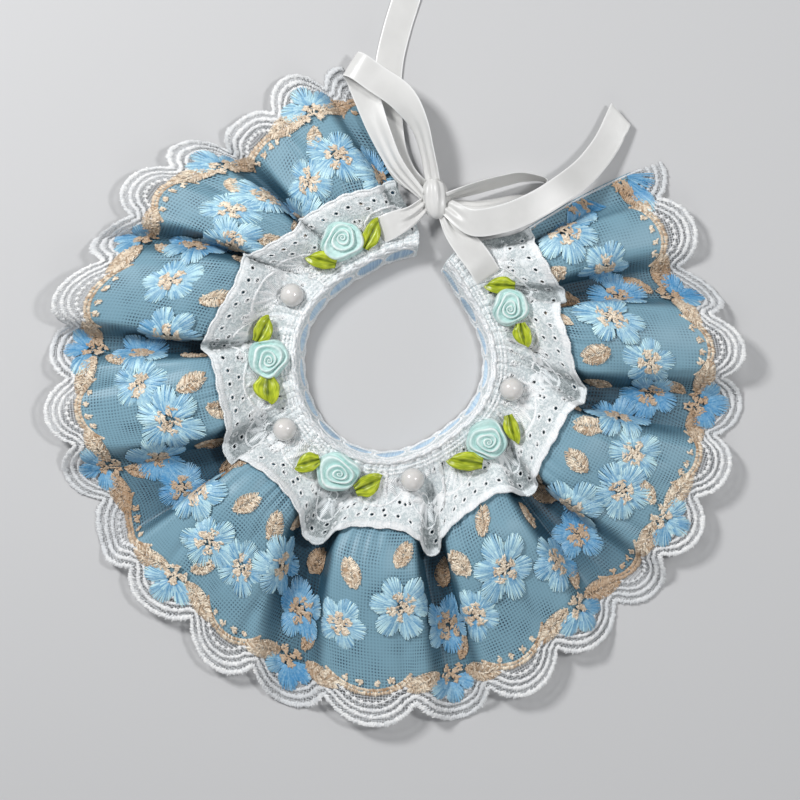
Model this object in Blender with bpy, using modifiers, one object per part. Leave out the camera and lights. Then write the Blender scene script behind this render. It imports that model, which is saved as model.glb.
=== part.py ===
"""Lace pet collar, laid flat: a gathered organza ruffle with a scalloped net edge, a cotton eyelet frill over
it, a neck band, two satin ties in a bow, and ribbon roses, leaves and half-round pearls sewn along the neck.
Metres, +Z up. Tables and sizes are in millimetres and degrees. Angles run counter-clockwise about the middle
of the neck opening."""

import math

import bmesh
import bpy
import numpy as np
from mathutils import Vector

MM = 0.001
COLLECTION = "lace_pet_collar"

# Cloth and the air between two layers
WALL = 1.0
GAP = 0.3
NET_SEAM_GAP = 0.55

# The middle of the neck opening, seen from the middle of the whole part
NECK_X = -0.762
NECK_Y = -2.318

# The two cut ends: their angles at the neck, at the frill's edge and at the rim
LEFT_END = (76.0, 88.5, 100.0)
RIGHT_END = (419.0, 402.5, 395.5)

# (angle, radius of the neck opening)
NECK_OUTLINE = (
    (70, 36.0),
    (84, 33.2),
    (104, 29.4),
    (124, 28.2),
    (144, 28.8),
    (164, 30.2),
    (184, 31.2),
    (204, 32.6),
    (224, 34.4),
    (244, 35.6),
    (266, 35.6),
    (286, 33.8),
    (306, 32.6),
    (326, 33.2),
    (344, 33.0),
    (364, 31.5),
    (384, 29.8),
    (404, 30.4),
    (414, 32.2),
    (425, 34.4),
)
# (angle, radius of the scallops' tips)
RIM_OUTLINE = (
    (96, 103),
    (108, 107),
    (116, 104.5),
    (125, 100),
    (133, 105),
    (142, 112.5),
    (150, 114),
    (157, 114),
    (165, 119),
    (172, 124),
    (181, 124),
    (190, 127),
    (204, 126.5),
    (211, 125.5),
    (219, 130),
    (231, 127.5),
    (241, 131),
    (254, 133.5),
    (267, 135),
    (281, 135),
    (293, 133),
    (303, 129.5),
    (316, 129.5),
    (340, 129),
    (352, 128),
    (361, 126),
    (368, 121.5),
    (375, 116.5),
    (383, 118.5),
    (396, 119.5),
)
# One row per flute: the angles of its crest where the frill ends and at the rim, its rise at those two places,
# and how far the crest leans counter-clockwise off its foot.
FLUTES = (
    # frill_from, frill_to, rim_from, rim_to, frill_rise, rim_rise, lean
    (96, 122.5, 109, 129, 9, 4, 0),
    (127.5, 144, 133, 157, 12, 6, 0),
    (149, 175, 161, 175, 14, 11, 2),
    (182, 206, 181, 198, 14, 7, -1),
    (218, 241, 216, 250, 15, 5, -3),
    (253, 277, 258, 278, 15, 7, 1),
    (286, 310, 285, 307, 15, 6, -2),
    (320, 342, 321, 345, 14, 6, -1),
    (352, 373, 355, 367, 14, 9, 2),
    (383, 396, 377, 389, 11, 5, 0),
)
# The lace's pattern has one half flower per repeat. These are the rim angles where the half flowers fall.
HALF_FLOWER_ANGLES = (112.6, 135.9, 159.4, 180, 201.4, 221.5, 253.1, 280.6, 305.5, 330.6, 351.2, 368.9, 394.6)
REPEAT_LENGTH = 63.0
FIRST_REPEAT = -0.5
LAST_REPEAT = 12.0
SCALLOPS_PER_REPEAT = 2
STEPS_PER_SCALLOP = 6
STEPS_ACROSS_FLUTE = 48

# The ruffle's cut across, from its gathered neck edge (0) to the tips of its scallops (1)
FRILL_SHARE = 0.37
SCALLOP_DEPTH = 8.0
SCALLOP_ROUNDNESS = 1.4
NET_EDGE_WIDTH = 12.0
FRILL_CREST_PULL = 7.5
# (share of the cut, rise of the crests as a share of the frill's own, wall's run as a share of its full run)
RISE_PROFILE = (
    (0.0, 0.02),
    (0.08, 0.09),
    (0.16, 0.34),
    (0.26, 0.8),
    (0.37, 1.0),
    (0.6, 1.0),
    (1.0, 1.0),
)
FRILL_WALL_RUN = 6.5
RIM_WALL_RUN = 9.0
NECK_WALL_RUN = 14.0
CREST_ROUNDING = 0.16
# How a layer of cloth follows the flutes: how far it is raised, how much of the valleys it fills, and how
# much wider its crests are on each side.
RUFFLE_LAYER = (0.0, 0.0, 0.0)
FRILL_LAYER = (1.5, 0.45, 1.5)
# The gathered neck edge stands this high, and comes down to the floor by this share of the cut
NECK_LIFT = 5.6
NECK_LIFT_SHARE = 0.2

# (share of the frill's width) rows of the ruffle under the frill, and from the frill's edge to the net edge
ROWS_UNDER_FRILL = (0.0, 0.2, 0.45, 0.72, 1.0)
ROWS_BEYOND_FRILL = (0.45, 1.0)
ROWS_ON_NET_EDGE = (1.0,)

# Neck band: (distance out from the opening, height), from its lower edge to its sewn edge
BAND_SECTION = ((0.5, 0.35), (2.2, 4.2), (3.8, 8.0))
BAND_STEPS = 52
STEPS_BETWEEN_ROWS = 8
SEAM_OUT = 4.8

# Roses: (name, angle, distance out from the opening, length, width, turn)
ROSE_RISE = 6.4
ROSES = (
    ("rose_1", 114.6, 14.7, 16.5, 14.5, 20),
    ("rose_2", 183.3, 13.3, 15.0, 14.8, 0),
    ("rose_3", 245.4, 11.9, 16.5, 14.5, -10),
    ("rose_4", 316.9, 13.5, 15.0, 15.0, 30),
    ("rose_5", 380.4, 15.1, 14.0, 13.2, 60),
)
# A rose's section, as shares of its half width and its rise. Its flare starts above the leaves under it.
ROSE_SECTION = (
    (0.0, 0.82),
    (0.34, 0.98),
    (0.7, 0.94),
    (0.97, 0.7),
    (0.92, 0.56),
    (0.5, 0.48),
    (0.46, 0.0),
    (0.0, 0.0),
)
PEARL_SECTION_STEPS = 5
TURNED_STEPS = 18
# Leaves: (name, rose, direction from the rose, distance of its middle, heading of its tip, length, width)
LEAF_FOLD = 0.9
LEAF_STATIONS = (0.02, 0.3, 0.62, 0.98)
LEAF_END_WIDTH = 0.12
LEAVES = (
    ("leaf_1a", 0, 13, 11.0, 62, 10.5, 6.5),
    ("leaf_1b", 0, 223, 9.6, 165, 9.5, 6.5),
    ("leaf_2a", 1, 98, 10.2, 62, 9.0, 7.0),
    ("leaf_2b", 1, 270, 11.0, 272, 8.5, 10.5),
    ("leaf_3a", 2, 163, 10.8, 195, 8.0, 7.0),
    ("leaf_3b", 2, 339, 12.0, 24, 9.5, 8.0),
    ("leaf_4a", 3, 225, 10.6, 172, 11.5, 7.0),
    ("leaf_4b", 3, 24, 9.9, 285, 9.5, 5.5),
    ("leaf_5a", 4, 113, 8.6, 176, 9.5, 6.0),
    ("leaf_5b", 4, 295, 10.8, 282, 7.5, 7.0),
)
# Half-round pearls: (name, angle, distance out from the opening)
PEARL_DIAMETER = 8.6
PEARLS = (
    ("pearl_1", 150.8, 11.9),
    ("pearl_2", 216.0, 13.9),
    ("pearl_3", 279.0, 12.1),
    ("pearl_4", 342.3, 11.8),
)

# The bow. Places are measured from the middle of the neck opening.
KNOT_AT = (15.5, 54.8, 6.2)
KNOT_SIZE = (9.4, 14.8, 9.0)
KNOT_TURN = 8
RIBBON_WALL = 1.0
RIBBON_STEP = 3.2
KNOT_SEGMENTS = 16
KNOT_RINGS = 10
# Where each ribbon leaves the knot: (direction, height over its middle, distance off it, heading, rise, width)
KNOT_ENDS = {
    "tie_left": (208, 0.6, 0.7, 122, 10, 5.0),
    "tie_right": (302, 0.4, 0.6, 32, -10, 5.0),
    "loop_left_out": (98, 1.2, 0.4, 4, 30, 6.0),
    "loop_left_back": (172, 0.6, 0.7, 84, 40, 4.5),
    "loop_right_out": (8, 0.4, 0.4, 96, 68, 5.5),
    "loop_right_back": (344, -2.2, 1.0, -100, 40, 3.5),
    "tail_up": (135, -2.4, 0.8, 48, 0, 5.0),
    "tail_right": (322, 2.4, 1.3, 52, 6, 6.0),
}
# Ribbon routes: (x, y, z, heading of the ribbon's width, rise of its width, width)
TIE_LEFT = (
    (6.6, 48.4, 8.2, 118, 10, 7.0),
    (3.0, 46.6, 9.2, 116, 4, 8.5),
    (-1.2, 44.6, 9.5, 112, 0, 9.5),
)
TIE_RIGHT = (
    (21.8, 43.4, 8.0, 34, -4, 7.0),
    (26.4, 38.0, 8.9, 40, -2, 9.5),
    (31.2, 31.8, 9.1, 42, 0, 10.0),
    (34.4, 26.6, 9.0, 34, 0, 10.0),
)
LOOP_LEFT = (
    (12.6, 71.0, 9.0, 6, 50, 7.5),
    (9.6, 81.0, 10.0, 20, 40, 8.5),
    (3.4, 90.5, 10.8, 42, 15, 10.0),
    (-6.0, 97.4, 10.4, 55, 0, 10.0),
    (-13.6, 102.6, 9.0, 57, 0, 10.0),
    (-15.2, 103.2, 7.0, 57, 0, 10.0),
    (-13.6, 101.0, 5.4, 52, 0, 10.0),
    (-9.4, 91.8, 5.0, 32, 8, 9.5),
    (-4.4, 78.6, 5.8, 24, 28, 8.5),
    (1.4, 66.6, 6.9, 34, 36, 7.0),
)
LOOP_RIGHT = (
    (28.4, 58.2, 6.4, 84, 64, 8.5),
    (38.0, 60.8, 6.4, 72, 68, 10.0),
    (48.0, 62.6, 6.4, 80, 78, 10.0),
    (55.4, 60.8, 5.8, 30, 87, 10.0),
    (52.4, 57.2, 5.6, -40, 82, 10.0),
    (43.0, 54.6, 5.8, -80, 72, 9.5),
    (31.4, 52.6, 5.0, -82, 60, 7.5),
)
TAIL_UP = (
    (5.4, 63.0, 3.0, 36, 8, 8.0),
    (0.8, 71.0, 2.6, 16, 0, 9.5),
    (-1.2, 82.0, 2.0, 4, 0, 10.0),
    (-1.8, 93.0, 0.9, 0, 0, 10.0),
    (-1.0, 105.0, 0.6, -6, 0, 10.0),
    (1.8, 117.0, 0.6, -14, 0, 10.0),
    (5.2, 128.0, 0.6, -16, 0, 10.0),
    (8.2, 138.0, 0.6, -17, 0, 10.0),
)
TAIL_RIGHT = (
    (28.4, 45.8, 12.6, 86, 10, 9.5),
    (39.0, 47.0, 13.2, 104, 6, 10.0),
    (49.8, 51.2, 13.4, 114, 6, 10.0),
    (60.2, 57.6, 11.4, 124, 8, 10.0),
    (69.4, 65.0, 7.4, 132, 10, 10.0),
    (76.8, 74.4, 4.6, 148, 12, 10.0),
    (82.4, 85.6, 3.0, 158, 12, 10.0),
)

# Materials: (base colour, roughness)
ORGANZA = ((0.10, 0.36, 0.53, 1.0), 0.55)
NET = ((0.78, 0.80, 0.82, 1.0), 0.75)
EYELET = ((0.80, 0.86, 0.88, 1.0), 0.8)
BAND_LACE = ((0.74, 0.82, 0.90, 1.0), 0.8)
SATIN = ((0.83, 0.82, 0.79, 1.0), 0.3)
ROSE_SATIN = ((0.52, 0.80, 0.78, 1.0), 0.35)
LEAF_SATIN = ((0.38, 0.56, 0.02, 1.0), 0.35)
PEARL = ((0.83, 0.81, 0.80, 1.0), 0.12)


def clear_scene():
    for old in list(bpy.data.objects):
        bpy.data.objects.remove(old)


def material(name, finish):
    colour, roughness = finish
    made = bpy.data.materials.get(name) or bpy.data.materials.new(name)
    made.use_nodes = True
    shader = made.node_tree.nodes["Principled BSDF"]
    shader.inputs["Base Color"].default_value = colour
    shader.inputs["Roughness"].default_value = roughness
    made.diffuse_color = colour
    return made


def through(rows, x, column=1):
    """The value at x on a smooth curve through a table's rows, whose first column rises."""
    xs = np.array([row[0] for row in rows], float)
    ys = np.array([row[column] for row in rows], float)
    slopes = np.gradient(ys, xs)
    x = np.clip(x, xs[0], xs[-1])
    i = np.clip(np.searchsorted(xs, x) - 1, 0, len(xs) - 2)
    step = xs[i + 1] - xs[i]
    t = (x - xs[i]) / step
    rest = ys[i] * (1 + 2 * t) * (1 - t) ** 2 + ys[i + 1] * t * t * (3 - 2 * t)
    return rest + step * (slopes[i] * t * (1 - t) ** 2 - slopes[i + 1] * t * t * (1 - t))


def smooth(t):
    t = np.clip(t, 0, 1)
    return t * t * (3 - 2 * t)


def neck_angle(frill_angle):
    """Where a line on the frill's edge starts at the neck, since the flutes fan out unevenly."""
    spread = (RIGHT_END[0] - LEFT_END[0]) / (RIGHT_END[1] - LEFT_END[1])
    return LEFT_END[0] + (frill_angle - LEFT_END[1]) * spread


def at_share(share, neck, frill, rim):
    """An angle at this share of the cut, from its values at the neck, the frill's edge and the rim."""
    inner = neck + (frill - neck) * smooth(share / FRILL_SHARE)
    outer = frill + (rim - frill) * (share - FRILL_SHARE) / (1 - FRILL_SHARE)
    return np.where(share < FRILL_SHARE, inner, outer)


def flute_edges():
    """(neck, frill, rim) angles between one flute and the next, and of the two cut ends."""
    edges = [LEFT_END]
    for left, right in zip(FLUTES, FLUTES[1:]):
        frill = (left[1] + right[0]) / 2
        edges.append((neck_angle(frill), frill, (left[3] + right[2]) / 2))
    edges.append(RIGHT_END)
    return edges


FLUTE_EDGES = flute_edges()


def repeats_at(rim_angle):
    """How many of the lace's repeats lie before this rim angle."""
    return np.interp(rim_angle, HALF_FLOWER_ANGLES, np.arange(len(HALF_FLOWER_ANGLES)))


def flute_bounds():
    """The lace's repeats at each flute's edges."""
    bounds = [float(repeats_at(edge[2])) for edge in FLUTE_EDGES]
    bounds[0], bounds[-1] = FIRST_REPEAT, LAST_REPEAT
    return bounds


def blended(column, cell, place):
    """A flute's value from the table, meeting its neighbours' halfway at its edges."""
    own = FLUTES[cell][column]
    before = FLUTES[max(cell - 1, 0)][column]
    after = FLUTES[min(cell + 1, len(FLUTES) - 1)][column]
    neighbour = np.where(place < 0.5, before, after)
    return own + (neighbour - own) / 2 * (2 * place - 1) ** 2


def section(share, cell, place, layer):
    """Points of one flute, at a share of the cut and at places from 0 to 1 across it."""
    raised_by, filled, wider = layer
    frill_from, frill_to, rim_from, rim_to = FLUTES[cell][:4]
    start = at_share(share, *FLUTE_EDGES[cell])
    end = at_share(share, *FLUTE_EDGES[cell + 1])
    crest_from = at_share(share, neck_angle(frill_from), frill_from, rim_from)
    crest_to = at_share(share, neck_angle(frill_to), frill_to, rim_to)
    angle = start + (end - start) * place
    neck = through(NECK_OUTLINE, angle) + SEAM_OUT
    radius = neck + (through(RIM_OUTLINE, angle) - neck) * share
    margin = np.degrees(wider / radius)
    run = at_share(share, NECK_WALL_RUN, FRILL_WALL_RUN, RIM_WALL_RUN)
    up = smooth((angle - crest_from + margin) / run + 0.5) * smooth((crest_to + margin - angle) / run + 0.5)
    dome = np.sin(np.pi * np.clip((angle - crest_from) / (crest_to - crest_from), 0, 1))
    beyond = smooth((share - FRILL_SHARE) / (1 - FRILL_SHARE))
    rise = blended(4, cell, place) * (1 - beyond) + blended(5, cell, place) * beyond
    height = through(RISE_PROFILE, share) * rise * (1 - CREST_ROUNDING + CREST_ROUNDING * dome)
    lift = NECK_LIFT * (1 - smooth(share / NECK_LIFT_SHARE)) + raised_by
    lean = blended(6, cell, place) * smooth(share / FRILL_SHARE)
    turned = np.radians(angle) + lean * up / radius
    z = height * (filled + (1 - filled) * up) + lift
    return np.stack([radius * np.cos(turned), radius * np.sin(turned), z], axis=-1)


def ruffle_row(shares, repeats, layer):
    """The underside of a layer, at one point for each repeat, each at its own share of the cut. Steps are
    even along the cloth inside each flute."""
    bounds = flute_bounds()
    places = np.linspace(0, 1, STEPS_ACROSS_FLUTE + 1)
    points = np.zeros((len(repeats), 3))
    for i, (share, repeat) in enumerate(zip(shares, repeats)):
        cell = int(np.clip(np.searchsorted(bounds, repeat, side="right") - 1, 0, len(FLUTES) - 1))
        line = section(share, cell, places, layer)
        length = np.concatenate([[0], np.cumsum(np.linalg.norm(np.diff(line, axis=0), axis=1))])
        wanted = (repeat - bounds[cell]) / (bounds[cell + 1] - bounds[cell]) * length[-1]
        place = np.interp(wanted, length, places)
        points[i] = section(share, cell, np.array([place]), layer)[0]
    return points


def scallop(repeats):
    """0 at a scallop's tip and 1 at the cusp between two, along circular lobes."""
    across = (repeats * SCALLOPS_PER_REPEAT + 0.5) % 1 * 2 - 1
    cusp = math.sqrt(SCALLOP_ROUNDNESS - 1)
    depth = np.sqrt(SCALLOP_ROUNDNESS - across * across) - cusp
    return 1 - depth / (math.sqrt(SCALLOP_ROUNDNESS) - cusp)


def crest_share(repeats):
    """1 in the middle of a flute and 0 at its edges."""
    bounds = np.array(flute_bounds())
    cell = np.clip(np.searchsorted(bounds, repeats, side="right") - 1, 0, len(FLUTES) - 1)
    return np.sin(np.pi * (repeats - bounds[cell]) / (bounds[cell + 1] - bounds[cell]))


def cut_width(repeats):
    """The cut's width across, in millimetres, where each repeat falls."""
    edges = np.interp(repeats, flute_bounds(), [edge[2] for edge in FLUTE_EDGES])
    return through(RIM_OUTLINE, edges) - through(NECK_OUTLINE, edges) - SEAM_OUT


def cloth_grids():
    """Rows of points on the ruffle's underside, from the neck to the rim, and on the frill's underside, from
    the neck to its edge."""
    steps = round((LAST_REPEAT - FIRST_REPEAT) * SCALLOPS_PER_REPEAT * STEPS_PER_SCALLOP)
    repeats = np.linspace(FIRST_REPEAT, LAST_REPEAT, steps + 1)
    width = cut_width(repeats)
    rim = 1 - scallop(repeats) * SCALLOP_DEPTH / width
    net = rim - NET_EDGE_WIDTH / width
    frill = FRILL_SHARE - FRILL_CREST_PULL * crest_share(repeats) / width
    under = [frill * row for row in ROWS_UNDER_FRILL]
    beyond = [frill + (net - NET_SEAM_GAP / 2 / width - frill) * row for row in ROWS_BEYOND_FRILL]
    beyond.append(net + NET_SEAM_GAP / 2 / width)
    beyond += [net + (rim - net) * row for row in ROWS_ON_NET_EDGE]
    ruffle = [ruffle_row(share, repeats, RUFFLE_LAYER) for share in under + beyond]
    return np.array(ruffle), np.array([ruffle_row(share, repeats, FRILL_LAYER) for share in under])


def grid_normals(grid):
    across = np.gradient(grid, axis=0)
    along = np.gradient(grid, axis=1)
    normals = np.cross(across, along)
    return normals / np.linalg.norm(normals, axis=2, keepdims=True)


def finish_object(name, mesh, finish, location=(0, 0, 0)):
    mesh.name = name
    made = bpy.data.objects.new(name, mesh)
    bpy.data.collections[COLLECTION].objects.link(made)
    made.data.materials.append(material(name, finish))
    made.location = Vector(location) * MM
    made.parent = bpy.data.objects["neck_middle"]
    return made


def cloth(name, under, over, finish):
    """A wall of cloth between two grids of points, its underside and its top."""
    rows, columns = under.shape[:2]
    work = bmesh.new()
    bmesh.ops.create_grid(work, x_segments=columns - 1, y_segments=rows - 1, size=1)
    place = work.verts.layers.int.new("place")
    for index, vertex in enumerate(work.verts):
        vertex[place] = index
        vertex.co = Vector(under[divmod(index, columns)]) * MM
    raised = bmesh.ops.extrude_face_region(work, geom=work.faces[:])["geom"]
    for vertex in (item for item in raised if isinstance(item, bmesh.types.BMVert)):
        vertex.co = Vector(over[divmod(vertex[place], columns)]) * MM
    bmesh.ops.recalc_face_normals(work, faces=work.faces)
    mesh = bpy.data.meshes.new(name)
    work.to_mesh(mesh)
    work.free()
    return finish_object(name, mesh, finish)


def add_ruffle(grid):
    normals = grid_normals(grid)
    net_rows = len(ROWS_ON_NET_EDGE) + 1
    normals[-net_rows] = normals[-net_rows - 1]
    over = grid + WALL * normals
    cloth("ruffle_organza", grid[:-net_rows], over[:-net_rows], ORGANZA)
    cloth("ruffle_net_edge", grid[-net_rows:], over[-net_rows:], NET)


def add_frill(grid):
    """Returns the frill's top, which the roses and pearls lie on."""
    over = grid + WALL * grid_normals(grid)
    cloth("eyelet_frill", grid, over, EYELET)
    return over


def add_neck_band():
    angles = np.linspace(LEFT_END[0], RIGHT_END[0], BAND_STEPS + 1)
    opening = through(NECK_OUTLINE, angles)
    rows = []
    for out, height in BAND_SECTION:
        radius = opening + out
        x, y = radius * np.cos(np.radians(angles)), radius * np.sin(np.radians(angles))
        rows.append(np.stack([x, y, np.full_like(x, height)], axis=-1))
    grid = np.array(rows)
    half = WALL / 2 * grid_normals(grid)
    cloth("neck_band", grid - half, grid + half, BAND_LACE)


def around_neck(angle, out):
    radius = float(through(NECK_OUTLINE, np.array(float(angle)))) + out
    return radius * math.cos(math.radians(angle)), radius * math.sin(math.radians(angle))


def resting_height(top, x, y, reach):
    """The height that a piece with this reach rests at on the frill."""
    between = np.linspace(0, 1, STEPS_BETWEEN_ROWS + 1)[:, None, None, None]
    dense = top[:-1] * (1 - between) + top[1:] * between
    near = np.hypot(dense[..., 0] - x, dense[..., 1] - y) < reach
    return float(dense[..., 2][near].max()) + GAP


def turned(name, section, finish, location, size, turn=0):
    """A section turned about its own axis. The size is its length, width and height."""
    mesh = bpy.data.meshes.new(name)
    points = [(radius / 2, 0, height) for radius, height in section]
    mesh.from_pydata(points, [(i, i + 1) for i in range(len(points) - 1)], [])
    made = finish_object(name, mesh, finish, location)
    made.scale = Vector(size) * MM
    made.rotation_euler = (0, 0, math.radians(turn))
    spin = made.modifiers.new("turn", "SCREW")
    spin.steps = spin.render_steps = TURNED_STEPS
    spin.use_merge_vertices = True
    spin.merge_threshold = 0.00005
    return made


def rose_places(top):
    """{name: place} of each rose, on the frill."""
    places = {}
    for name, angle, out, length, width, _ in ROSES:
        x, y = around_neck(angle, out)
        foot = ROSE_SECTION[-2][0] * max(length, width) / 2
        places[name] = (x, y, resting_height(top, x, y, foot))
    return places


def add_roses(places):
    for name, _, _, length, width, turn in ROSES:
        turned(name, ROSE_SECTION, ROSE_SATIN, places[name], (length, width, ROSE_RISE), turn)


def add_pearls(top):
    quarter = np.linspace(np.pi / 2, 0, PEARL_SECTION_STEPS)
    dome = [(math.cos(a), math.sin(a)) for a in quarter]
    for name, angle, out in PEARLS:
        x, y = around_neck(angle, out)
        place = (x, y, resting_height(top, x, y, PEARL_DIAMETER / 2))
        turned(name, (*dome, (0, 0)), PEARL, place, (PEARL_DIAMETER, PEARL_DIAMETER, PEARL_DIAMETER / 2))


def add_leaves(top, places):
    """A satin leaf is creased along its middle, with its foot beside its rose."""
    along = np.array(LEAF_STATIONS)
    half_width = np.sin(np.pi * along ** 0.8) ** 0.7 + LEAF_END_WIDTH
    for name, rose, direction, distance, heading, length, width in LEAVES:
        centre_x, centre_y, _ = places[ROSES[rose][0]]
        x = centre_x + distance * math.cos(math.radians(direction))
        y = centre_y + distance * math.sin(math.radians(direction))
        rows = []
        for side in (-1, 0, 1):
            across = side * half_width * width / 2
            rise = np.full(len(along), LEAF_FOLD * (1 - abs(side)))
            rows.append(np.stack([(along - 0.5) * length, across, rise], axis=-1))
        under = np.array(rows)
        over = under + (0, 0, WALL)
        made = cloth(name, under, over, LEAF_SATIN)
        reach = math.hypot(length, width) / 2
        made.location = Vector((x, y, resting_height(top, x, y, reach))) * MM
        made.rotation_euler = (0, 0, math.radians(heading))


def knot_end(name):
    """A ribbon's first row, just off the knot's surface."""
    direction, over_middle, off, *width = KNOT_ENDS[name]
    long_x, long_y, long_z = (side / 2 for side in KNOT_SIZE)
    shrink = math.sqrt(1 - (over_middle / long_z) ** 2)
    turn = math.radians(direction - KNOT_TURN)
    reach = shrink / math.hypot(math.cos(turn) / long_x, math.sin(turn) / long_y) + off
    x = KNOT_AT[0] + reach * math.cos(math.radians(direction))
    y = KNOT_AT[1] + reach * math.sin(math.radians(direction))
    return (x, y, KNOT_AT[2] + over_middle, *width)


def add_ribbon(name, rows):
    """A flat ribbon along a smooth curve through a table's rows."""
    rows = np.array(rows, float)
    steps = np.linalg.norm(np.diff(rows[:, :3], axis=0), axis=1)
    reached = np.concatenate([[0], np.cumsum(steps)])
    at = np.linspace(0, reached[-1], round(reached[-1] / RIBBON_STEP) + 1)
    table = np.column_stack([reached, rows])
    x, y, z, heading, rise, width = (through(table, at, column) for column in range(1, 7))
    heading, rise = np.radians(heading), np.radians(rise)
    across = np.stack([np.cos(heading) * np.cos(rise), np.sin(heading) * np.cos(rise), np.sin(rise)], axis=-1)
    middle = np.stack([x, y, z], axis=-1)
    normal = np.cross(across, np.gradient(middle, axis=0))
    normal *= RIBBON_WALL / 2 / np.linalg.norm(normal, axis=1, keepdims=True)
    edge = across * width[:, None] / 2
    grid = np.array([middle - edge, middle + edge])
    cloth(name, grid - normal, grid + normal, SATIN)


def add_bow():
    bpy.ops.mesh.primitive_uv_sphere_add(segments=KNOT_SEGMENTS, ring_count=KNOT_RINGS, radius=0.5)
    knot = bpy.context.object
    mesh = knot.data
    bpy.data.objects.remove(knot)
    knot = finish_object("bow_knot", mesh, SATIN, KNOT_AT)
    knot.scale = Vector(KNOT_SIZE) * MM
    knot.rotation_euler = (0, 0, math.radians(KNOT_TURN))
    add_ribbon("tie_left", (knot_end("tie_left"), *TIE_LEFT))
    add_ribbon("tie_right", (knot_end("tie_right"), *TIE_RIGHT))
    add_ribbon("bow_loop_left", (knot_end("loop_left_out"), *LOOP_LEFT, knot_end("loop_left_back")))
    add_ribbon("bow_loop_right", (knot_end("loop_right_out"), *LOOP_RIGHT, knot_end("loop_right_back")))
    add_ribbon("bow_tail_up", (knot_end("tail_up"), *TAIL_UP))
    add_ribbon("bow_tail_right", (knot_end("tail_right"), *TAIL_RIGHT))


def main():
    clear_scene()
    collection = bpy.data.collections.new(COLLECTION)
    bpy.context.scene.collection.children.link(collection)
    middle = bpy.data.objects.new("neck_middle", None)
    middle.location = Vector((NECK_X, NECK_Y, 0)) * MM
    collection.objects.link(middle)
    ruffle, frill = cloth_grids()
    add_ruffle(ruffle)
    top = add_frill(frill)
    add_neck_band()
    roses = rose_places(top)
    add_roses(roses)
    add_leaves(top, roses)
    add_pearls(top)
    add_bow()


main()
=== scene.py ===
"""Lace pet collar: the embroidered ruffle, the eyelet frill, the neck band, the ribbon roses and the bow,
dressed over the collar's solids. The tables hold millimetres and degrees about the neck opening's middle."""

import math

import bmesh
import bpy
import numpy as np
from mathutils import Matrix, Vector
from mathutils.geometry import delaunay_2d_cdt


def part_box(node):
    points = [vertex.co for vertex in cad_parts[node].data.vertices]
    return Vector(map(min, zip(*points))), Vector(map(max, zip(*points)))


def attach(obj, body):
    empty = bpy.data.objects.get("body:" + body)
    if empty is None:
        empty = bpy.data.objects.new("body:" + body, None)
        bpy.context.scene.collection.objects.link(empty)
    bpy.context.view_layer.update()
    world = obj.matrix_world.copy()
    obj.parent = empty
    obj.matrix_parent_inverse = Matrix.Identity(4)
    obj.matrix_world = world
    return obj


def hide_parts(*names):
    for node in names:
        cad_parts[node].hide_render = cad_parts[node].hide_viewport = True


bl_info = {
    "name": "Lace Pet Collar",
    "version": (1, 0, 0),
    "blender": (4, 5, 0),
    "location": "View3D > Sidebar > Collar",
    "description": "Dresses the solids of a lace pet collar with cloth, embroidery, ribbon and pearls",
    "category": "Object",
}

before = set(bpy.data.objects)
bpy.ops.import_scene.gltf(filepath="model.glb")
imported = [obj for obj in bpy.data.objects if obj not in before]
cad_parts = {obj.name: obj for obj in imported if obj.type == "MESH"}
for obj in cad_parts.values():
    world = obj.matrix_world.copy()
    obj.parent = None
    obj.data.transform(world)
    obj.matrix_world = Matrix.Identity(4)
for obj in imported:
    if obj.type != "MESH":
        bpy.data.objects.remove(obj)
bpy.context.view_layer.update()
MM = 0.001

# The middle of the neck opening in the frame
NECK_X = -0.762
NECK_Y = -2.318

# The collar's own sizes, as its solids have them
LEFT_END = (76.0, 88.5, 100.0)
RIGHT_END = (419.0, 402.5, 395.5)
NECK_OUTLINE = (
    (70, 36.0),
    (84, 33.2),
    (104, 29.4),
    (124, 28.2),
    (144, 28.8),
    (164, 30.2),
    (184, 31.2),
    (204, 32.6),
    (224, 34.4),
    (244, 35.6),
    (266, 35.6),
    (286, 33.8),
    (306, 32.6),
    (326, 33.2),
    (344, 33.0),
    (364, 31.5),
    (384, 29.8),
    (404, 30.4),
    (414, 32.2),
    (425, 34.4),
)
RIM_OUTLINE = (
    (96, 103),
    (108, 107),
    (116, 104.5),
    (125, 100),
    (133, 105),
    (142, 112.5),
    (150, 114),
    (157, 114),
    (165, 119),
    (172, 124),
    (181, 124),
    (190, 127),
    (204, 126.5),
    (211, 125.5),
    (219, 130),
    (231, 127.5),
    (241, 131),
    (254, 133.5),
    (267, 135),
    (281, 135),
    (293, 133),
    (303, 129.5),
    (316, 129.5),
    (340, 129),
    (352, 128),
    (361, 126),
    (368, 121.5),
    (375, 116.5),
    (383, 118.5),
    (396, 119.5),
)
# frill_from, frill_to, rim_from, rim_to, frill_rise, rim_rise, lean
FLUTES = (
    (96, 122.5, 109, 129, 9, 4, 0),
    (127.5, 144, 133, 157, 12, 6, 0),
    (149, 175, 161, 175, 14, 11, 2),
    (182, 206, 181, 198, 14, 7, -1),
    (218, 241, 216, 250, 15, 5, -3),
    (253, 277, 258, 278, 15, 7, 1),
    (286, 310, 285, 307, 15, 6, -2),
    (320, 342, 321, 345, 14, 6, -1),
    (352, 373, 355, 367, 14, 9, 2),
    (383, 396, 377, 389, 11, 5, 0),
)
HALF_FLOWER_ANGLES = (112.6, 135.9, 159.4, 180, 201.4, 221.5, 253.1, 280.6, 305.5, 330.6, 351.2, 368.9, 394.6)
REPEAT = 63.0
FIRST_REPEAT = -0.5
LAST_REPEAT = 12.0
FRILL_SHARE = 0.37
SCALLOP_DEPTH = 8.0
SCALLOP_ROUNDNESS = 1.4
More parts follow.
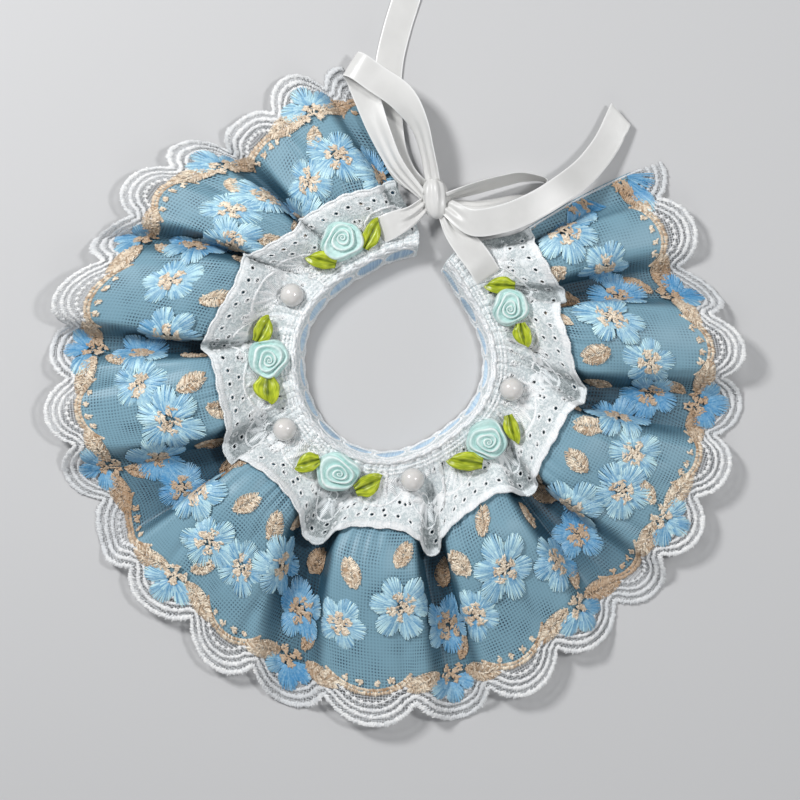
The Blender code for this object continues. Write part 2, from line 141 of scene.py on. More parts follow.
RISE_PROFILE = ((0.0, 0.02), (0.08, 0.09), (0.16, 0.34), (0.26, 0.8), (0.37, 1.0), (0.6, 1.0), (1.0, 1.0))
FRILL_WALL_RUN = 6.5
RIM_WALL_RUN = 9.0
NECK_WALL_RUN = 14.0
CREST_ROUNDING = 0.16
RUFFLE_LAYER = (0.0, 0.0, 0.0)
FRILL_LAYER = (1.5, 0.45, 1.5)
NECK_LIFT = 5.6
NECK_LIFT_SHARE = 0.2
SEAM_OUT = 4.8
# The neck band: (distance out from the opening, height), from over its seam down to its lower edge
BAND_DRESS = ((5.3, 8.3), (3.9, 8.5), (2.2, 4.4), (0.45, 0.4))
# How far either way its top is rounded over into its side, and how far out and up threads stand off that side
BAND_BEND = 0.6
BAND_SIDE_OUT = 0.9
BAND_SIDE_UP = 0.43

# The cloth's finer form: how far up in its solid it lies, and how much steeper its folds' sides are
CLOTH_REST = 0.5
# How much further in the frill's edge lies on each flute's crest than between the flutes
FRILL_EDGE_PULLS = (2.5, 4.0, 3.0, 6.5, 9.5, 12.0, 9.0, 6.0, 6.5, 2.5)
FOLD_STEEPNESS = (0.5, 0.38, 0.62)
CLOTH_ROWS = 130
CLOTH_COLUMNS = 1126
PLACES_ACROSS_FLUTE = 121
LOWEST_CLOTH = 0.35
# A place is hollow by how far it lies under the highest crest within this many columns, looked for in steps.
# A crest counts as at least so high.
HOLLOW_REACH = 52
HOLLOW_STEP = 4
LOWEST_CREST = 2.5
# The small gathers by the neck seam: their height, and the share of the cut where they have died out
RUFFLE_GATHER = (1.05, 0.5)
FRILL_GATHER = (0.5, 0.26)
GATHERS_PER_REPEAT = 9
# What makes the gathers uneven: how much, how often, offset
GATHER_WAVERS = ((0.5, 10.7, 0.0), (0.4, 3.9, 1.0))
# How much longer or shorter than flat a motif is ever taken to lie
STRETCH_LIMITS = (0.45, 1.6)
STRETCH_STEPS = 9
# Painted shade: how much darker the threads are made deep between the crests
HOLLOW_PAINTED_SHADE = 0.7
# Creases in the ruffle: repeat, share where it starts and ends, depth, width, drift along the strip
RUFFLE_CREASES = (
    (-0.22, 0.40, 0.95, 1.0, 3.2, -4.0),
    (0.28, 0.36, 0.88, -0.7, 2.6, 3.0),
    (0.62, 0.42, 0.80, 0.9, 2.0, -2.0),
    (1.30, 0.38, 0.97, 1.3, 2.8, 5.0),
    (1.72, 0.40, 0.76, -0.6, 2.2, 0.0),
    (2.22, 0.45, 0.92, 0.8, 2.4, -3.0),
    (2.75, 0.38, 0.72, 0.7, 1.8, 2.0),
    (3.35, 0.40, 0.96, 1.0, 3.0, 3.0),
    (3.66, 0.38, 0.70, -0.5, 1.8, -1.0),
    (4.42, 0.50, 0.98, 0.9, 2.6, -4.0),
    (4.90, 0.38, 0.84, 1.1, 2.4, 2.0),
    (5.32, 0.40, 0.74, 0.6, 1.6, 1.0),
    (5.62, 0.44, 0.97, 1.2, 3.0, -3.0),
    (6.28, 0.38, 0.86, -0.6, 2.2, 2.0),
    (6.70, 0.40, 0.98, 0.9, 2.4, 4.0),
    (7.18, 0.38, 0.78, 0.8, 2.0, -2.0),
    (7.75, 0.42, 0.95, 1.1, 2.8, 1.0),
    (8.30, 0.38, 0.82, -0.6, 2.0, 3.0),
    (8.84, 0.40, 0.97, 1.0, 2.6, -3.0),
    (9.40, 0.38, 0.76, 0.7, 1.8, 0.0),
    (9.78, 0.44, 0.96, 1.2, 2.8, 3.0),
    (10.30, 0.38, 0.84, 0.8, 2.2, -2.0),
    (10.92, 0.40, 0.94, -0.7, 2.2, 2.0),
    (11.38, 0.38, 0.90, 1.0, 2.8, -4.0),
    (11.75, 0.42, 0.97, 0.8, 2.0, 2.0),
)
FRILL_CREASES = (
    (0.05, 0.02, 0.30, 0.5, 2.2, 2.0),
    (0.55, 0.00, 0.24, -0.4, 1.8, -1.0),
    (1.02, 0.04, 0.36, 0.6, 2.0, 3.0),
    (1.62, 0.00, 0.26, 0.4, 1.6, 0.0),
    (2.30, 0.02, 0.33, 0.6, 2.2, -2.0),
    (3.15, 0.00, 0.30, -0.4, 1.8, 2.0),
    (3.72, 0.04, 0.28, 0.5, 1.8, -3.0),
    (4.62, 0.00, 0.34, 0.6, 2.4, 1.0),
    (5.15, 0.02, 0.22, 0.4, 1.6, 2.0),
    (5.95, 0.04, 0.35, 0.5, 2.0, -2.0),
    (6.45, 0.00, 0.24, -0.4, 1.8, 1.0),
    (7.30, 0.02, 0.34, 0.6, 2.2, 2.0),
    (8.05, 0.04, 0.26, 0.4, 1.6, -1.0),
    (8.62, 0.00, 0.35, 0.6, 2.2, -3.0),
    (9.55, 0.02, 0.30, -0.4, 1.8, 2.0),
    (10.20, 0.04, 0.34, 0.6, 2.0, 1.0),
    (11.10, 0.00, 0.28, 0.5, 1.8, -2.0),
    (11.62, 0.02, 0.33, 0.4, 1.6, 1.0),
)

# The cuts, flat, in metres
RIBBON_WIDE = 0.010
# How far a ribbon's first row is tucked into the knot
KNOT_TUCK = 1.2

# The meshes of the flat cloths: columns, rows
ORGANZA_GRID = (901, 62)
BAND_GRID = (620, 13)
BAND_COLUMNS = 400
FRILL_ROWS = 21
FRILL_CUT_TALL = 30.0
# Where the cloth's shade of a hollow starts and is whole
ORGANZA_HOLLOWS = (0.10, 0.62)
COTTON_HOLLOWS = (0.16, 0.40)
# The painted shade in the organza's hollows: how dark it is out on the ruffle, how much darker under the
# frill, and where that fades
OUTER_PAINTED_SHADE = 0.5
PAINTED_SHADE_UNDER_FRILL = 0.7
UNDER_FRILL_FROM = 0.42
UNDER_FRILL_RUN = 0.45
# Near the strip's cut ends light comes in from the side: the shade left there, and how far that reaches
END_SHADE = 0.25
END_REACH = 38.0

# The lace's pattern. Places are in one repeat of the strip: along it as a share, and in from the scallops'
# tips.
# The border's three cords: inset, share of the cord's width, rise, pitch
BORDER_CORDS = ((0.9, 1.15, 0.75, 0.85), (3.6, 0.95, 0.6, 0.8), (5.9, 0.75, 0.5, 0.8))
# The row of knots inside them: inset, spacing, and half the length of a knot's three crossed stitches
DOT_ROW_IN = 8.4
DOT_SPACING = 2.5
DOT_HALF = 1.05
TAN_CORD_IN = 12.0
# The net: its mesh, how far in it starts from the strip's cut ends and from the scallops, and how far it runs
# on under the organza
NET_PITCH = 1.05
NET_END_IN = 0.4
NET_MARGIN = 0.3
NET_TUCK = 2.0
# The hems at the strip's cut ends: how far in, and where they end towards the neck
HEM_IN = 0.8
HEM_END = 58
HEM_PLACES = 120
# The step between places on a long line, and how far embroidery keeps from the strip's cut ends
LINE_STEP = 0.5
STRIP_MARGIN = 0.8
# The organza's edge follows the scallops a little more shallowly, under the tan cord
EDGE_DEPTH_SHARE = 0.9
EDGE_TUCK = 0.2
# The tan cord's stretch of each repeat
TAN_SCALLOP = (0.27, 0.74)
# along, in, radius, petals, turn, level
FLOWERS = (
    (0.04, 34.0, 11.0, 5, 20, 0.35),
    (0.37, 35.5, 9.8, 5, 55, 0.0),
    (0.69, 44.5, 12.0, 6, 10, 0.7),
)
HALF_FLOWER = (0.0, 15.5, 10.2, 3, 0, 0.45)
# A petal's courses of threads: inner and outer share of its length, threads, height over the first course
PETAL_COURSES = ((0.30, 1.0, 21, 0.0), (0.18, 0.66, 11, 0.12))
# A petal's outline falls away to its sides by this much and this steeply, and its threads overlap by this
# factor
PETAL_FALL = 0.34
PETAL_ROUNDNESS = 2.6
PETAL_OVERLAP = 1.22
# The height of a petal's threads from foot to tip
PETAL_DOME = (0.45, 0.9, 1.0, 0.75, 0.1)
# How far each repeat's flowers are turned from the last one's
FLOWER_TURN = 37
# The repeats that are embroidered: the flowers in three pieces, and the tan work in one
FLOWER_PIECES = (("flowers_left", -1, 4), ("flowers_front", 4, 8), ("flowers_right", 8, 13))
MOTIF_REPEATS = range(-1, 13)
# A flower's star: its share of the flower's radius, and its turn from the petals'
STAR_SHARE = 0.45
STAR_TURN = 30
# How widely the half flower's petals are fanned, and which way they face
HALF_FLOWER_SPREAD = 196.0
HALF_FLOWER_FACING = -90.0
# along, in, heading from the strip's own direction (90 is towards the neck), length, width
TAN_LEAVES = (
    (0.215, 15.4, -14, 16.0, 7.0),
    (-0.185, 16.2, 195, 15.0, 6.6),
    (0.12, 25.0, 58, 10.5, 5.4),
    (0.09, 52.5, 70, 11.0, 7.0),
    (0.43, 54.0, 110, 11.5, 7.4),
    (0.70, 62.0, 60, 10.5, 6.6),
)
# The small stars inside the tan scallop: along, in
TAN_STARS = ((0.38, 17.0), (0.455, 16.0), (0.545, 16.2), (0.63, 17.2))

# The eyelet frill's fans: how often they come along the edge, how far in, their petals, the arc round the
# petals, the small arc at their foot, and how far round the arcs go in radians
FAN_REPEAT = 26.0
FAN_IN = 18.5
FAN_PETAL_ANGLES = (-72, -48, -24, 0, 24, 48, 72)
FAN_RIM = 9.7
FAN_HEART = 1.9
FAN_SPREAD = 1.75
# Eyelets: the row along the edge, the row by the neck, the arc round each fan and the one between fans
EDGE_EYELETS_IN = 4.3
EDGE_EYELET_SPACING = 5.3
NECK_EYELETS_IN = 6.3
NECK_EYELET_SPACING = 8.4
FAN_EYELET_ANGLES = (-74, -45, -15, 15, 45, 74)
FAN_EYELET_RADIUS = 11.4
BETWEEN_FANS_IN = 9.4
# How far eyelets keep from the cut's ends and edges, their corners, and the share of them that is left open
EYELETS_FROM_END = 2.0
EYELETS_FROM_EDGE = 3.0
EYELET_CORNERS = 9
EYELET_OPENING = 0.93
# The frill's scalloped edge and the stitches over its ground
EDGE_WAVE = 6.5
GROUND_STITCHES = 4200

# The scallops of the neck band's lower edge: length, depth, how sharp
BAND_SCALLOP = 6.8
BAND_SCALLOP_DEPTH = 1.0
BAND_SCALLOP_POINT = 1.5
# The band's ovals and the rings round them. Away from the left end the ovals narrow to a least share of their
# height, a little unevenly, and sink towards the band's foot.
OVAL_SPACING = 13.4
OVAL_DOWN = 4.3
OVAL_SINK = 1.9
OVAL_HALF_TALL = 3.7
OVAL_HALF_WIDE = 5.5
RING_HALF_WIDE = 6.1
RING_MARGIN = 0.5
OVAL_LEAST = 0.52
OVAL_FULL_REACH = 48
OVAL_UNEVEN = 0.13

# How much light the organza stops, and its two weaves: pitch, turn, waver. Satin's weave, and how far its
# painted sheen streaks are drawn out along the ribbon.
ORGANZA_COVER = 0.93
ORGANZA_WEAVES = ((0.00118, 0.02, 0.0006), (0.00108, 0.10, 0.0009))
SATIN_PITCH = 0.00035
SATIN_TURN = 0.6
SHEEN_STREAK_DRAWN = (0.16, 1.0, 1.0)
# The meshes of a pearl and of the knot
PEARL_RINGS, PEARL_SIDES = 19, 48
KNOT_RINGS, KNOT_SIDES = 49, 96
# The floor's reach, how far it lies under the part, the camera's place, and the height that it is framed for
FLOOR_REACH = 3
FLOOR_DROP = 0.0001
CAMERA_X, CAMERA_Y = 0.0020, -0.0198
FRAMED_HEIGHT = 0.004
WORLD_STRENGTH = 0.245
# Lights: name, place, width, power
LIGHTS = (
    ("key", (-0.50, 0.42, 0.62), 0.18, 5.8),
    ("second", (0.42, 0.10, 0.75), 0.11, 2.2),
    ("front", (0.05, -0.85, 0.6), 0.6, 0.9),
)

# The roses' ribbon turns, the first turn's direction, and each rose's length, width and turn
ROSE_WINDS = 4.9
ROSE_TURNS = {"rose_1": 20, "rose_2": 200, "rose_3": 100, "rose_4": 300, "rose_5": 60}
ROSE_SIZES = {
    "rose_1": (16.5, 14.5, 20),
    "rose_2": (15.0, 14.8, 0),
    "rose_3": (16.5, 14.5, -10),
    "rose_4": (15.0, 15.0, 30),
    "rose_5": (14.0, 13.2, 60),
}
# Leaves: heading, length, width, fold (how far one side is turned up)
LEAVES = {
    "leaf_1a": (62, 11.0, 6.8, 0.9),
    "leaf_1b": (165, 10.2, 6.8, 0.4),
    "leaf_2a": (62, 9.6, 7.2, 0.5),
    "leaf_2b": (272, 9.2, 10.5, 1.0),
    "leaf_3a": (195, 8.6, 7.2, 0.5),
    "leaf_3b": (24, 10.0, 8.2, 0.8),
    "leaf_4a": (172, 11.8, 7.2, 0.4),
    "leaf_4b": (285, 10.0, 5.8, 0.9),
    "leaf_5a": (176, 10.0, 6.4, 0.3),
    "leaf_5b": (282, 8.2, 7.2, 1.0),
}

# The bow, as its solids have it
KNOT_AT = (15.5, 54.8, 6.2)
KNOT_SIZE = (9.4, 14.8, 9.0)
KNOT_TURN = 8
KNOT_ENDS = {
    "tie_left": (208, 0.6, 0.7, 122, 10, 5.0),
    "tie_right": (302, 0.4, 0.6, 32, -10, 5.0),
    "loop_left_out": (98, 1.2, 0.4, 4, 30, 6.0),
    "loop_left_back": (172, 0.6, 0.7, 84, 40, 4.5),
    "loop_right_out": (8, 0.4, 0.4, 96, 68, 5.5),
    "loop_right_back": (344, -2.2, 1.0, -100, 40, 3.5),
    "tail_up": (135, -2.4, 0.8, 48, 0, 5.0),
    "tail_right": (322, 2.4, 1.3, 52, 6, 6.0),
}
TIE_LEFT = (
    (6.6, 48.4, 8.2, 118, 10, 7.0),
    (3.0, 46.6, 9.2, 116, 4, 8.5),
    (-1.2, 44.6, 9.4, 112, 0, 9.5),
    (-4.6, 43.2, 7.2, 112, 0, 9.5),
)
TIE_RIGHT = (
    (21.8, 43.4, 8.0, 34, -4, 7.0),
    (26.4, 38.0, 8.9, 40, -2, 9.5),
    (31.2, 31.8, 9.1, 42, 0, 10.0),
    (34.4, 26.6, 7.2, 34, 0, 10.0),
)
LOOP_LEFT = (
    (12.6, 71.0, 9.0, 6, 50, 7.5),
    (9.6, 81.0, 10.0, 20, 40, 8.5),
    (3.4, 90.5, 10.8, 42, 15, 10.0),
    (-6.0, 97.4, 10.4, 55, 0, 10.0),
    (-13.6, 102.6, 9.0, 57, 0, 10.0),
    (-15.2, 103.2, 7.0, 57, 0, 10.0),
    (-13.6, 101.0, 5.4, 52, 0, 10.0),
    (-9.4, 91.8, 5.0, 32, 8, 9.5),
    (-4.4, 78.6, 5.8, 24, 28, 8.5),
    (1.4, 66.6, 6.9, 34, 36, 7.0),
)
LOOP_RIGHT = (
    (28.4, 58.2, 6.4, 84, 64, 8.5),
    (38.0, 60.8, 6.4, 72, 68, 10.0),
    (48.0, 62.6, 6.4, 80, 78, 10.0),
    (55.4, 60.8, 5.8, 30, 87, 10.0),
    (52.4, 57.2, 5.6, -40, 82, 10.0),
    (43.0, 54.6, 5.8, -80, 72, 9.5),
    (31.4, 52.6, 5.0, -82, 60, 7.5),
)
TAIL_UP = (
    (5.4, 63.0, 3.0, 36, 8, 8.0),
    (0.8, 71.0, 2.6, 16, 0, 9.5),
    (-1.2, 82.0, 2.0, 4, 0, 10.0),
    (-1.8, 93.0, 0.9, 0, 0, 10.0),
    (-1.0, 105.0, 0.6, -6, 0, 10.0),
    (1.8, 117.0, 0.6, -14, 0, 10.0),
    (5.2, 128.0, 0.6, -16, 0, 10.0),
    (8.2, 138.0, 0.6, -17, 0, 10.0),
)
TAIL_RIGHT = (
    (28.4, 45.8, 12.6, 86, 10, 9.5),
    (39.0, 47.0, 13.2, 104, 6, 10.0),
    (49.8, 51.2, 13.4, 114, 6, 10.0),
    (60.2, 57.6, 11.4, 124, 8, 10.0),
    (69.4, 65.0, 7.4, 132, 10, 10.0),
    (76.8, 74.4, 4.6, 148, 12, 10.0),
    (82.4, 85.6, 3.0, 158, 12, 10.0),
)
# How far the free end's cut slants, in millimetres
TAIL_SLANT = {"bow_tail_up": 4.0, "bow_tail_right": 4.5}


# ---------------------------------------------------------------- the flutes, as the solids have them
def through(rows, x, column=1):
    """The value at x on a smooth curve through a table's rows, whose first column rises."""
    xs = np.array([row[0] for row in rows], float)
    ys = np.array([row[column] for row in rows], float)
    slopes = np.gradient(ys, xs)
    x = np.clip(x, xs[0], xs[-1])
    i = np.clip(np.searchsorted(xs, x) - 1, 0, len(xs) - 2)
    step = xs[i + 1] - xs[i]
    t = (x - xs[i]) / step
    rest = ys[i] * (1 + 2 * t) * (1 - t) ** 2 + ys[i + 1] * t * t * (3 - 2 * t)
    return rest + step * (slopes[i] * t * (1 - t) ** 2 - slopes[i + 1] * t * t * (1 - t))


def smooth(t):
    """0 below 0 and 1 above 1, with an eased rise between."""
    t = np.clip(t, 0, 1)
    return t * t * (3 - 2 * t)


def ease(value, low, high):
    """0 below low and 1 above high, with an eased rise between."""
    return smooth((value - low) / (high - low))


def distances(line):
    """How far along a line of points each of them lies."""
    return np.concatenate([[0], np.cumsum(np.linalg.norm(np.diff(line, axis=0), axis=1))])


def pairs(x, y):
    """Flat places, from how far along and how far across they are."""
    return np.stack([x, y], axis=-1)


def places_along(path, reached, at):
    """Flat places at these distances along a path."""
    return np.stack([np.interp(at, reached, path[:, k]) for k in (0, 1)], axis=-1)


def swung(x, y, degrees):
    """Places turned about the middle."""
    turn = math.radians(degrees)
    return x * math.cos(turn) - y * math.sin(turn), x * math.sin(turn) + y * math.cos(turn)


def neck_angle(frill_angle):
    """The angle at the neck of a place with this angle at the frill's edge."""
    spread = (RIGHT_END[0] - LEFT_END[0]) / (RIGHT_END[1] - LEFT_END[1])
    return LEFT_END[0] + (frill_angle - LEFT_END[1]) * spread


def at_share(share, neck, frill, rim):
    """A value at this share of the cut, from those at the neck, the frill's edge and the rim."""
    inner = neck + (frill - neck) * smooth(share / FRILL_SHARE)
    outer = frill + (rim - frill) * (share - FRILL_SHARE) / (1 - FRILL_SHARE)
    return np.where(share < FRILL_SHARE, inner, outer)


def flute_edges():
    """The angles of the flutes' edges at the neck, the frill's edge and the rim."""
    edges = [LEFT_END]
    for left, right in zip(FLUTES, FLUTES[1:]):
        frill = (left[1] + right[0]) / 2
        edges.append((neck_angle(frill), frill, (left[3] + right[2]) / 2))
    edges.append(RIGHT_END)
    return edges


FLUTE_EDGES = flute_edges()


def flute_bounds():
    """The lace's repeats at each flute's edges."""
    rims = [edge[2] for edge in FLUTE_EDGES]
    bounds = list(np.interp(rims, HALF_FLOWER_ANGLES, np.arange(len(HALF_FLOWER_ANGLES))))
    bounds[0], bounds[-1] = FIRST_REPEAT, LAST_REPEAT
    return np.array(bounds)


FLUTE_BOUNDS = flute_bounds()


def flute_of(repeats):
    """Which flute each place along the strip is in."""
    return np.clip(np.searchsorted(FLUTE_BOUNDS, repeats, side="right") - 1, 0, len(FLUTES) - 1)


def blended(column, cell, place):
    """A flute's value from the table, meeting its neighbours' halfway at its edges."""
    own = FLUTES[cell][column]
    before = FLUTES[max(cell - 1, 0)][column]
    after = FLUTES[min(cell + 1, len(FLUTES) - 1)][column]
    neighbour = np.where(place < 0.5, before, after)
    return own + (neighbour - own) / 2 * (2 * place - 1) ** 2


def section(share, cell, place, layer):
    """Points of one flute, at a share of the cut and at places from 0 to 1 across it."""
    raised_by, filled, wider = layer
    frill_from, frill_to, rim_from, rim_to = FLUTES[cell][:4]
    start = at_share(share, *FLUTE_EDGES[cell])
    end = at_share(share, *FLUTE_EDGES[cell + 1])
    crest_from = at_share(share, neck_angle(frill_from), frill_from, rim_from)
    crest_to = at_share(share, neck_angle(frill_to), frill_to, rim_to)
    angle = start + (end - start) * place
    neck = through(NECK_OUTLINE, angle) + SEAM_OUT
    radius = neck + (through(RIM_OUTLINE, angle) - neck) * share
    margin = np.degrees(wider / radius)
    run = at_share(share, NECK_WALL_RUN, FRILL_WALL_RUN, RIM_WALL_RUN) * at_share(share, *FOLD_STEEPNESS)
    up = smooth((angle - crest_from + margin) / run + 0.5) * smooth((crest_to + margin - angle) / run + 0.5)
    dome = np.sin(np.pi * np.clip((angle - crest_from) / (crest_to - crest_from), 0, 1))
    beyond = smooth((share - FRILL_SHARE) / (1 - FRILL_SHARE))
    rise = blended(4, cell, place) * (1 - beyond) + blended(5, cell, place) * beyond
    height = through(RISE_PROFILE, share) * rise * (1 - CREST_ROUNDING + CREST_ROUNDING * dome)
    lift = NECK_LIFT * (1 - smooth(share / NECK_LIFT_SHARE)) + raised_by
    lean = blended(6, cell, place) * smooth(share / FRILL_SHARE)
    turned = np.radians(angle) + lean * up / radius
    z = height * (filled + (1 - filled) * up) + lift
    return np.stack([radius * np.cos(turned), radius * np.sin(turned), z], axis=-1)


def scallop(repeats):
    """0 at a scallop's tip and 1 at the cusp between two, along circular lobes."""
    across = (repeats * 2 + 0.5) % 1 * 2 - 1
    cusp = math.sqrt(SCALLOP_ROUNDNESS - 1)
    depth = np.sqrt(SCALLOP_ROUNDNESS - across * across) - cusp
    return 1 - depth / (math.sqrt(SCALLOP_ROUNDNESS) - cusp)


def crest_share(repeats):
    """1 in the middle of a flute and 0 at its edges."""
    cell = flute_of(repeats)
    return np.sin(np.pi * (repeats - FLUTE_BOUNDS[cell]) / (FLUTE_BOUNDS[cell + 1] - FLUTE_BOUNDS[cell]))


def cut_width(repeats):
    """How deep the ruffle's cut is from rim to neck seam, at places along the strip."""
    edges = np.interp(repeats, FLUTE_BOUNDS, [edge[2] for edge in FLUTE_EDGES])
    return through(RIM_OUTLINE, edges) - through(NECK_OUTLINE, edges) - SEAM_OUT


def grid_normals(grid):
    normals = np.cross(np.gradient(grid, axis=0), np.gradient(grid, axis=1))
    return normals / np.linalg.norm(normals, axis=2, keepdims=True)


def creased(grid, shares, repeats, creases):
    """Presses soft troughs and ridges into a layer, along the strip's cut."""
    along, across = np.meshgrid(repeats * REPEAT, shares)
    for repeat, start, end, depth, width, drift in creases:
        t = np.clip((across - start) / (end - start), 0, 1)
        off = along - repeat * REPEAT - drift * (t - 0.5)
        grid[..., 2] -= depth * np.sin(np.pi * t) ** 0.8 * np.exp(-((off / width) ** 2))
    return grid


class Cut:
    """A piece's flat cut. at() finds where flat places, in millimetres, lie on the laid cloth."""

    def hollow(self, x, y):
        """0, as nothing on this cut lies down between crests."""
        return np.zeros(np.shape(x))

    def stretch(self, x, y, reach=6.0):
        """How much longer the laid cloth is than the flat cut here, along it and across it."""
        steps = np.linspace(-reach, reach, STRETCH_STEPS)
        along = self.at(x + steps, np.full(STRETCH_STEPS, y))
        across = self.at(np.full(STRETCH_STEPS, x), y + steps)
        least, most = STRETCH_LIMITS
        reached = [np.linalg.norm(np.diff(line, axis=0), axis=1).sum() for line in (along, across)]
        return [min(max(length / (2 * reach), least), most) for length in reached]

    def motif(self, x, y, offsets):
        """Flat places at true-size offsets round a motif's middle."""
        along, across = self.stretch(x, y)
        return pairs(x + offsets[..., 0] / along, y + offsets[..., 1] / across)


class GatheredCut(Cut):
    """The ruffle's strip, or the frill's, gathered to the neck and laid in flutes."""

    def __init__(self, layer, creases, gather):
        self.repeats = np.linspace(FIRST_REPEAT, LAST_REPEAT, CLOTH_COLUMNS)
        self.shares = np.linspace(0, 1, CLOTH_ROWS)
        places = np.linspace(0, 1, PLACES_ACROSS_FLUTE)
        cells = flute_of(self.repeats)
        grid = np.zeros((CLOTH_ROWS, CLOTH_COLUMNS, 3))
        for row, share in enumerate(self.shares):
            for cell in range(len(FLUTES)):
                line = section(share, cell, places, layer)
                length = distances(line)
                mine = cells == cell
                low, high = FLUTE_BOUNDS[cell], FLUTE_BOUNDS[cell + 1]
                wanted = (self.repeats[mine] - low) / (high - low) * length[-1]
                grid[row, mine] = section(share, cell, np.interp(wanted, length, places), layer)
        creased(grid, self.shares, self.repeats, creases)
        depth, reach = gather
        phase = GATHERS_PER_REPEAT * self.repeats
        for much, often, offset in GATHER_WAVERS:
            phase = phase + much * np.sin(often * self.repeats + offset)
        fading = 1 - smooth(self.shares / reach)
        uneven = 0.75 + 0.25 * np.sin(5.3 * self.repeats)
        grid[..., 2] += depth * fading[:, None] * np.sin(2 * np.pi * phase)[None, :] * uneven
        normals = grid_normals(grid)
        points = grid + CLOTH_REST * normals
        points[..., 2] = np.maximum(points[..., 2], LOWEST_CLOTH)
        crest = points[..., 2].copy()
        for shift in range(HOLLOW_STEP, HOLLOW_REACH, HOLLOW_STEP):
            crest[:, shift:] = np.maximum(crest[:, shift:], points[:, :-shift, 2])
            crest[:, :-shift] = np.maximum(crest[:, :-shift], points[:, shift:, 2])
        hollow = 1 - points[..., 2] / np.maximum(crest, LOWEST_CREST)
        self.table = np.concatenate([points, normals, hollow[..., None]], axis=2)

    def find(self, shares, repeats):
        """Points, normals and hollowness of the laid cloth, between the table's own."""
        row = np.clip(shares, 0, 1) * (CLOTH_ROWS - 1)
        column = np.clip((repeats - FIRST_REPEAT) / (LAST_REPEAT - FIRST_REPEAT), 0, 1) * (CLOTH_COLUMNS - 1)
        i = np.clip(row.astype(int), 0, CLOTH_ROWS - 2)
        j = np.clip(column.astype(int), 0, CLOTH_COLUMNS - 2)
        r, c = (row - i)[..., None], (column - j)[..., None]
        upper = self.table[i, j] * (1 - c) + self.table[i, j + 1] * c
        lower = self.table[i + 1, j] * (1 - c) + self.table[i + 1, j + 1] * c
        return upper * (1 - r) + lower * r

    def at(self, x, y, heights=0.0):
        """Points of the laid cloth at flat places, raised off it by these heights."""
        found = self.find(*self.shares_of(x, y))
        return found[..., :3] + np.asarray(heights)[..., None] * found[..., 3:6]

    def hollow(self, x, y):
        """0 on the crests, and towards 1 down between them."""
        return self.find(*self.shares_of(x, y))[..., 6]


class RuffleCut(GatheredCut):
    """Flat places are along the strip, and in from the line through the scallops' tips."""

    def shares_of(self, x, y):
        """Flat places as shares of the cut, from neck to rim, and repeats along it."""
        repeats = x / REPEAT
        return 1 - y / cut_width(repeats), repeats


class FrillCut(GatheredCut):
    """Flat places are along the frill's outer edge, and in from that edge."""

    def __init__(self, *args):
        super().__init__(*args)
        pulled = np.array(FRILL_EDGE_PULLS)[flute_of(self.repeats)] * smooth(crest_share(self.repeats))
        self.edge = FRILL_SHARE - pulled / cut_width(self.repeats)
        line = self.find(self.edge, self.repeats)[:, :3]
        self.reached = distances(line)
        self.length = self.reached[-1]
        self.widths = self.edge * cut_width(self.repeats)
        self.area = np.sum((self.widths[1:] + self.widths[:-1]) / 2 * np.diff(self.reached))

    def width(self, x):
        """How deep the frill's cut is here, from its edge to the neck seam."""
        return np.interp(x, self.reached, self.widths)

    def shares_of(self, x, y):
        """Flat places as shares of the cut, from neck to rim, and repeats along it."""
        edge = np.interp(x, self.reached, self.edge)
        return edge * (1 - y / self.width(x)), np.interp(x, self.reached, self.repeats)


class BandCut(Cut):
    """The neck band. Flat places are along its top edge, which covers the seam, and down from it."""

    def __init__(self):
        self.angles = np.linspace(LEFT_END[0], RIGHT_END[0], BAND_COLUMNS)
        line = polar(through(NECK_OUTLINE, self.angles) + BAND_DRESS[0][0], np.radians(self.angles))
        self.reached = distances(line)
        self.length = self.reached[-1]
        rows = np.array(BAND_DRESS)
        self.down = distances(rows)
        self.outs, self.heights = rows[:, 0], rows[:, 1]

    def at(self, x, y, heights=0.0):
        """Points of the laid band at flat places, raised off it by these heights."""
        x, y, heights = np.broadcast_arrays(x, y, heights)
        angle = np.interp(x, self.reached, self.angles)
        flat = 1 - ease(y - self.down[1], -BAND_BEND, BAND_BEND)
        out = np.interp(y, self.down, self.outs) - heights * BAND_SIDE_OUT * (1 - flat)
        z = np.interp(y, self.down, self.heights) + heights * (BAND_SIDE_UP + (1 - BAND_SIDE_UP) * flat)
        places = polar(through(NECK_OUTLINE, angle) + out, np.radians(angle))
        return np.concatenate([places, z[..., None]], axis=-1)

    def lower_edge(self, x):
        """The band's shallow scalloped lower edge."""
        lobe = np.abs(np.cos(np.pi * x / BAND_SCALLOP)) ** BAND_SCALLOP_POINT
        return self.down[-1] - BAND_SCALLOP_DEPTH * lobe


# ---------------------------------------------------------------- meshes
def in_frame(points):
    """Points about the neck's middle in millimetres, as places in the frame in metres."""
    return (points + (NECK_X, NECK_Y, 0)) * MM


def new_piece(name, points, faces, finish, numbers):
    """A mesh object with smooth faces, its own material and named numbers at its points."""
    mesh = bpy.data.meshes.new(name)
    mesh.from_pydata(np.asarray(points, dtype=np.float64), [], np.asarray(faces))
    mesh.update()
    for label, values in numbers.items():
        at_points = mesh.attributes.new(label, "FLOAT", "POINT")
        at_points.data.foreach_set("value", np.asarray(values, dtype=np.float32))
    mesh.shade_smooth()
    piece = bpy.data.objects.new(name, mesh)
    bpy.context.scene.collection.objects.link(piece)
    mesh.materials.append(finish)
    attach(piece, "root")
    return piece


def grid_faces(rows, columns, closed=False):
    """The faces between a grid's points, row by row. A closed grid's last column meets its first."""
    i, j = np.meshgrid(np.arange(rows - 1), np.arange(columns if closed else columns - 1), indexing="ij")
    here, below, k = i * columns, (i + 1) * columns, (j + 1) % columns
    return np.stack([here + j, here + k, below + k, below + j], axis=-1).reshape(-1, 4)


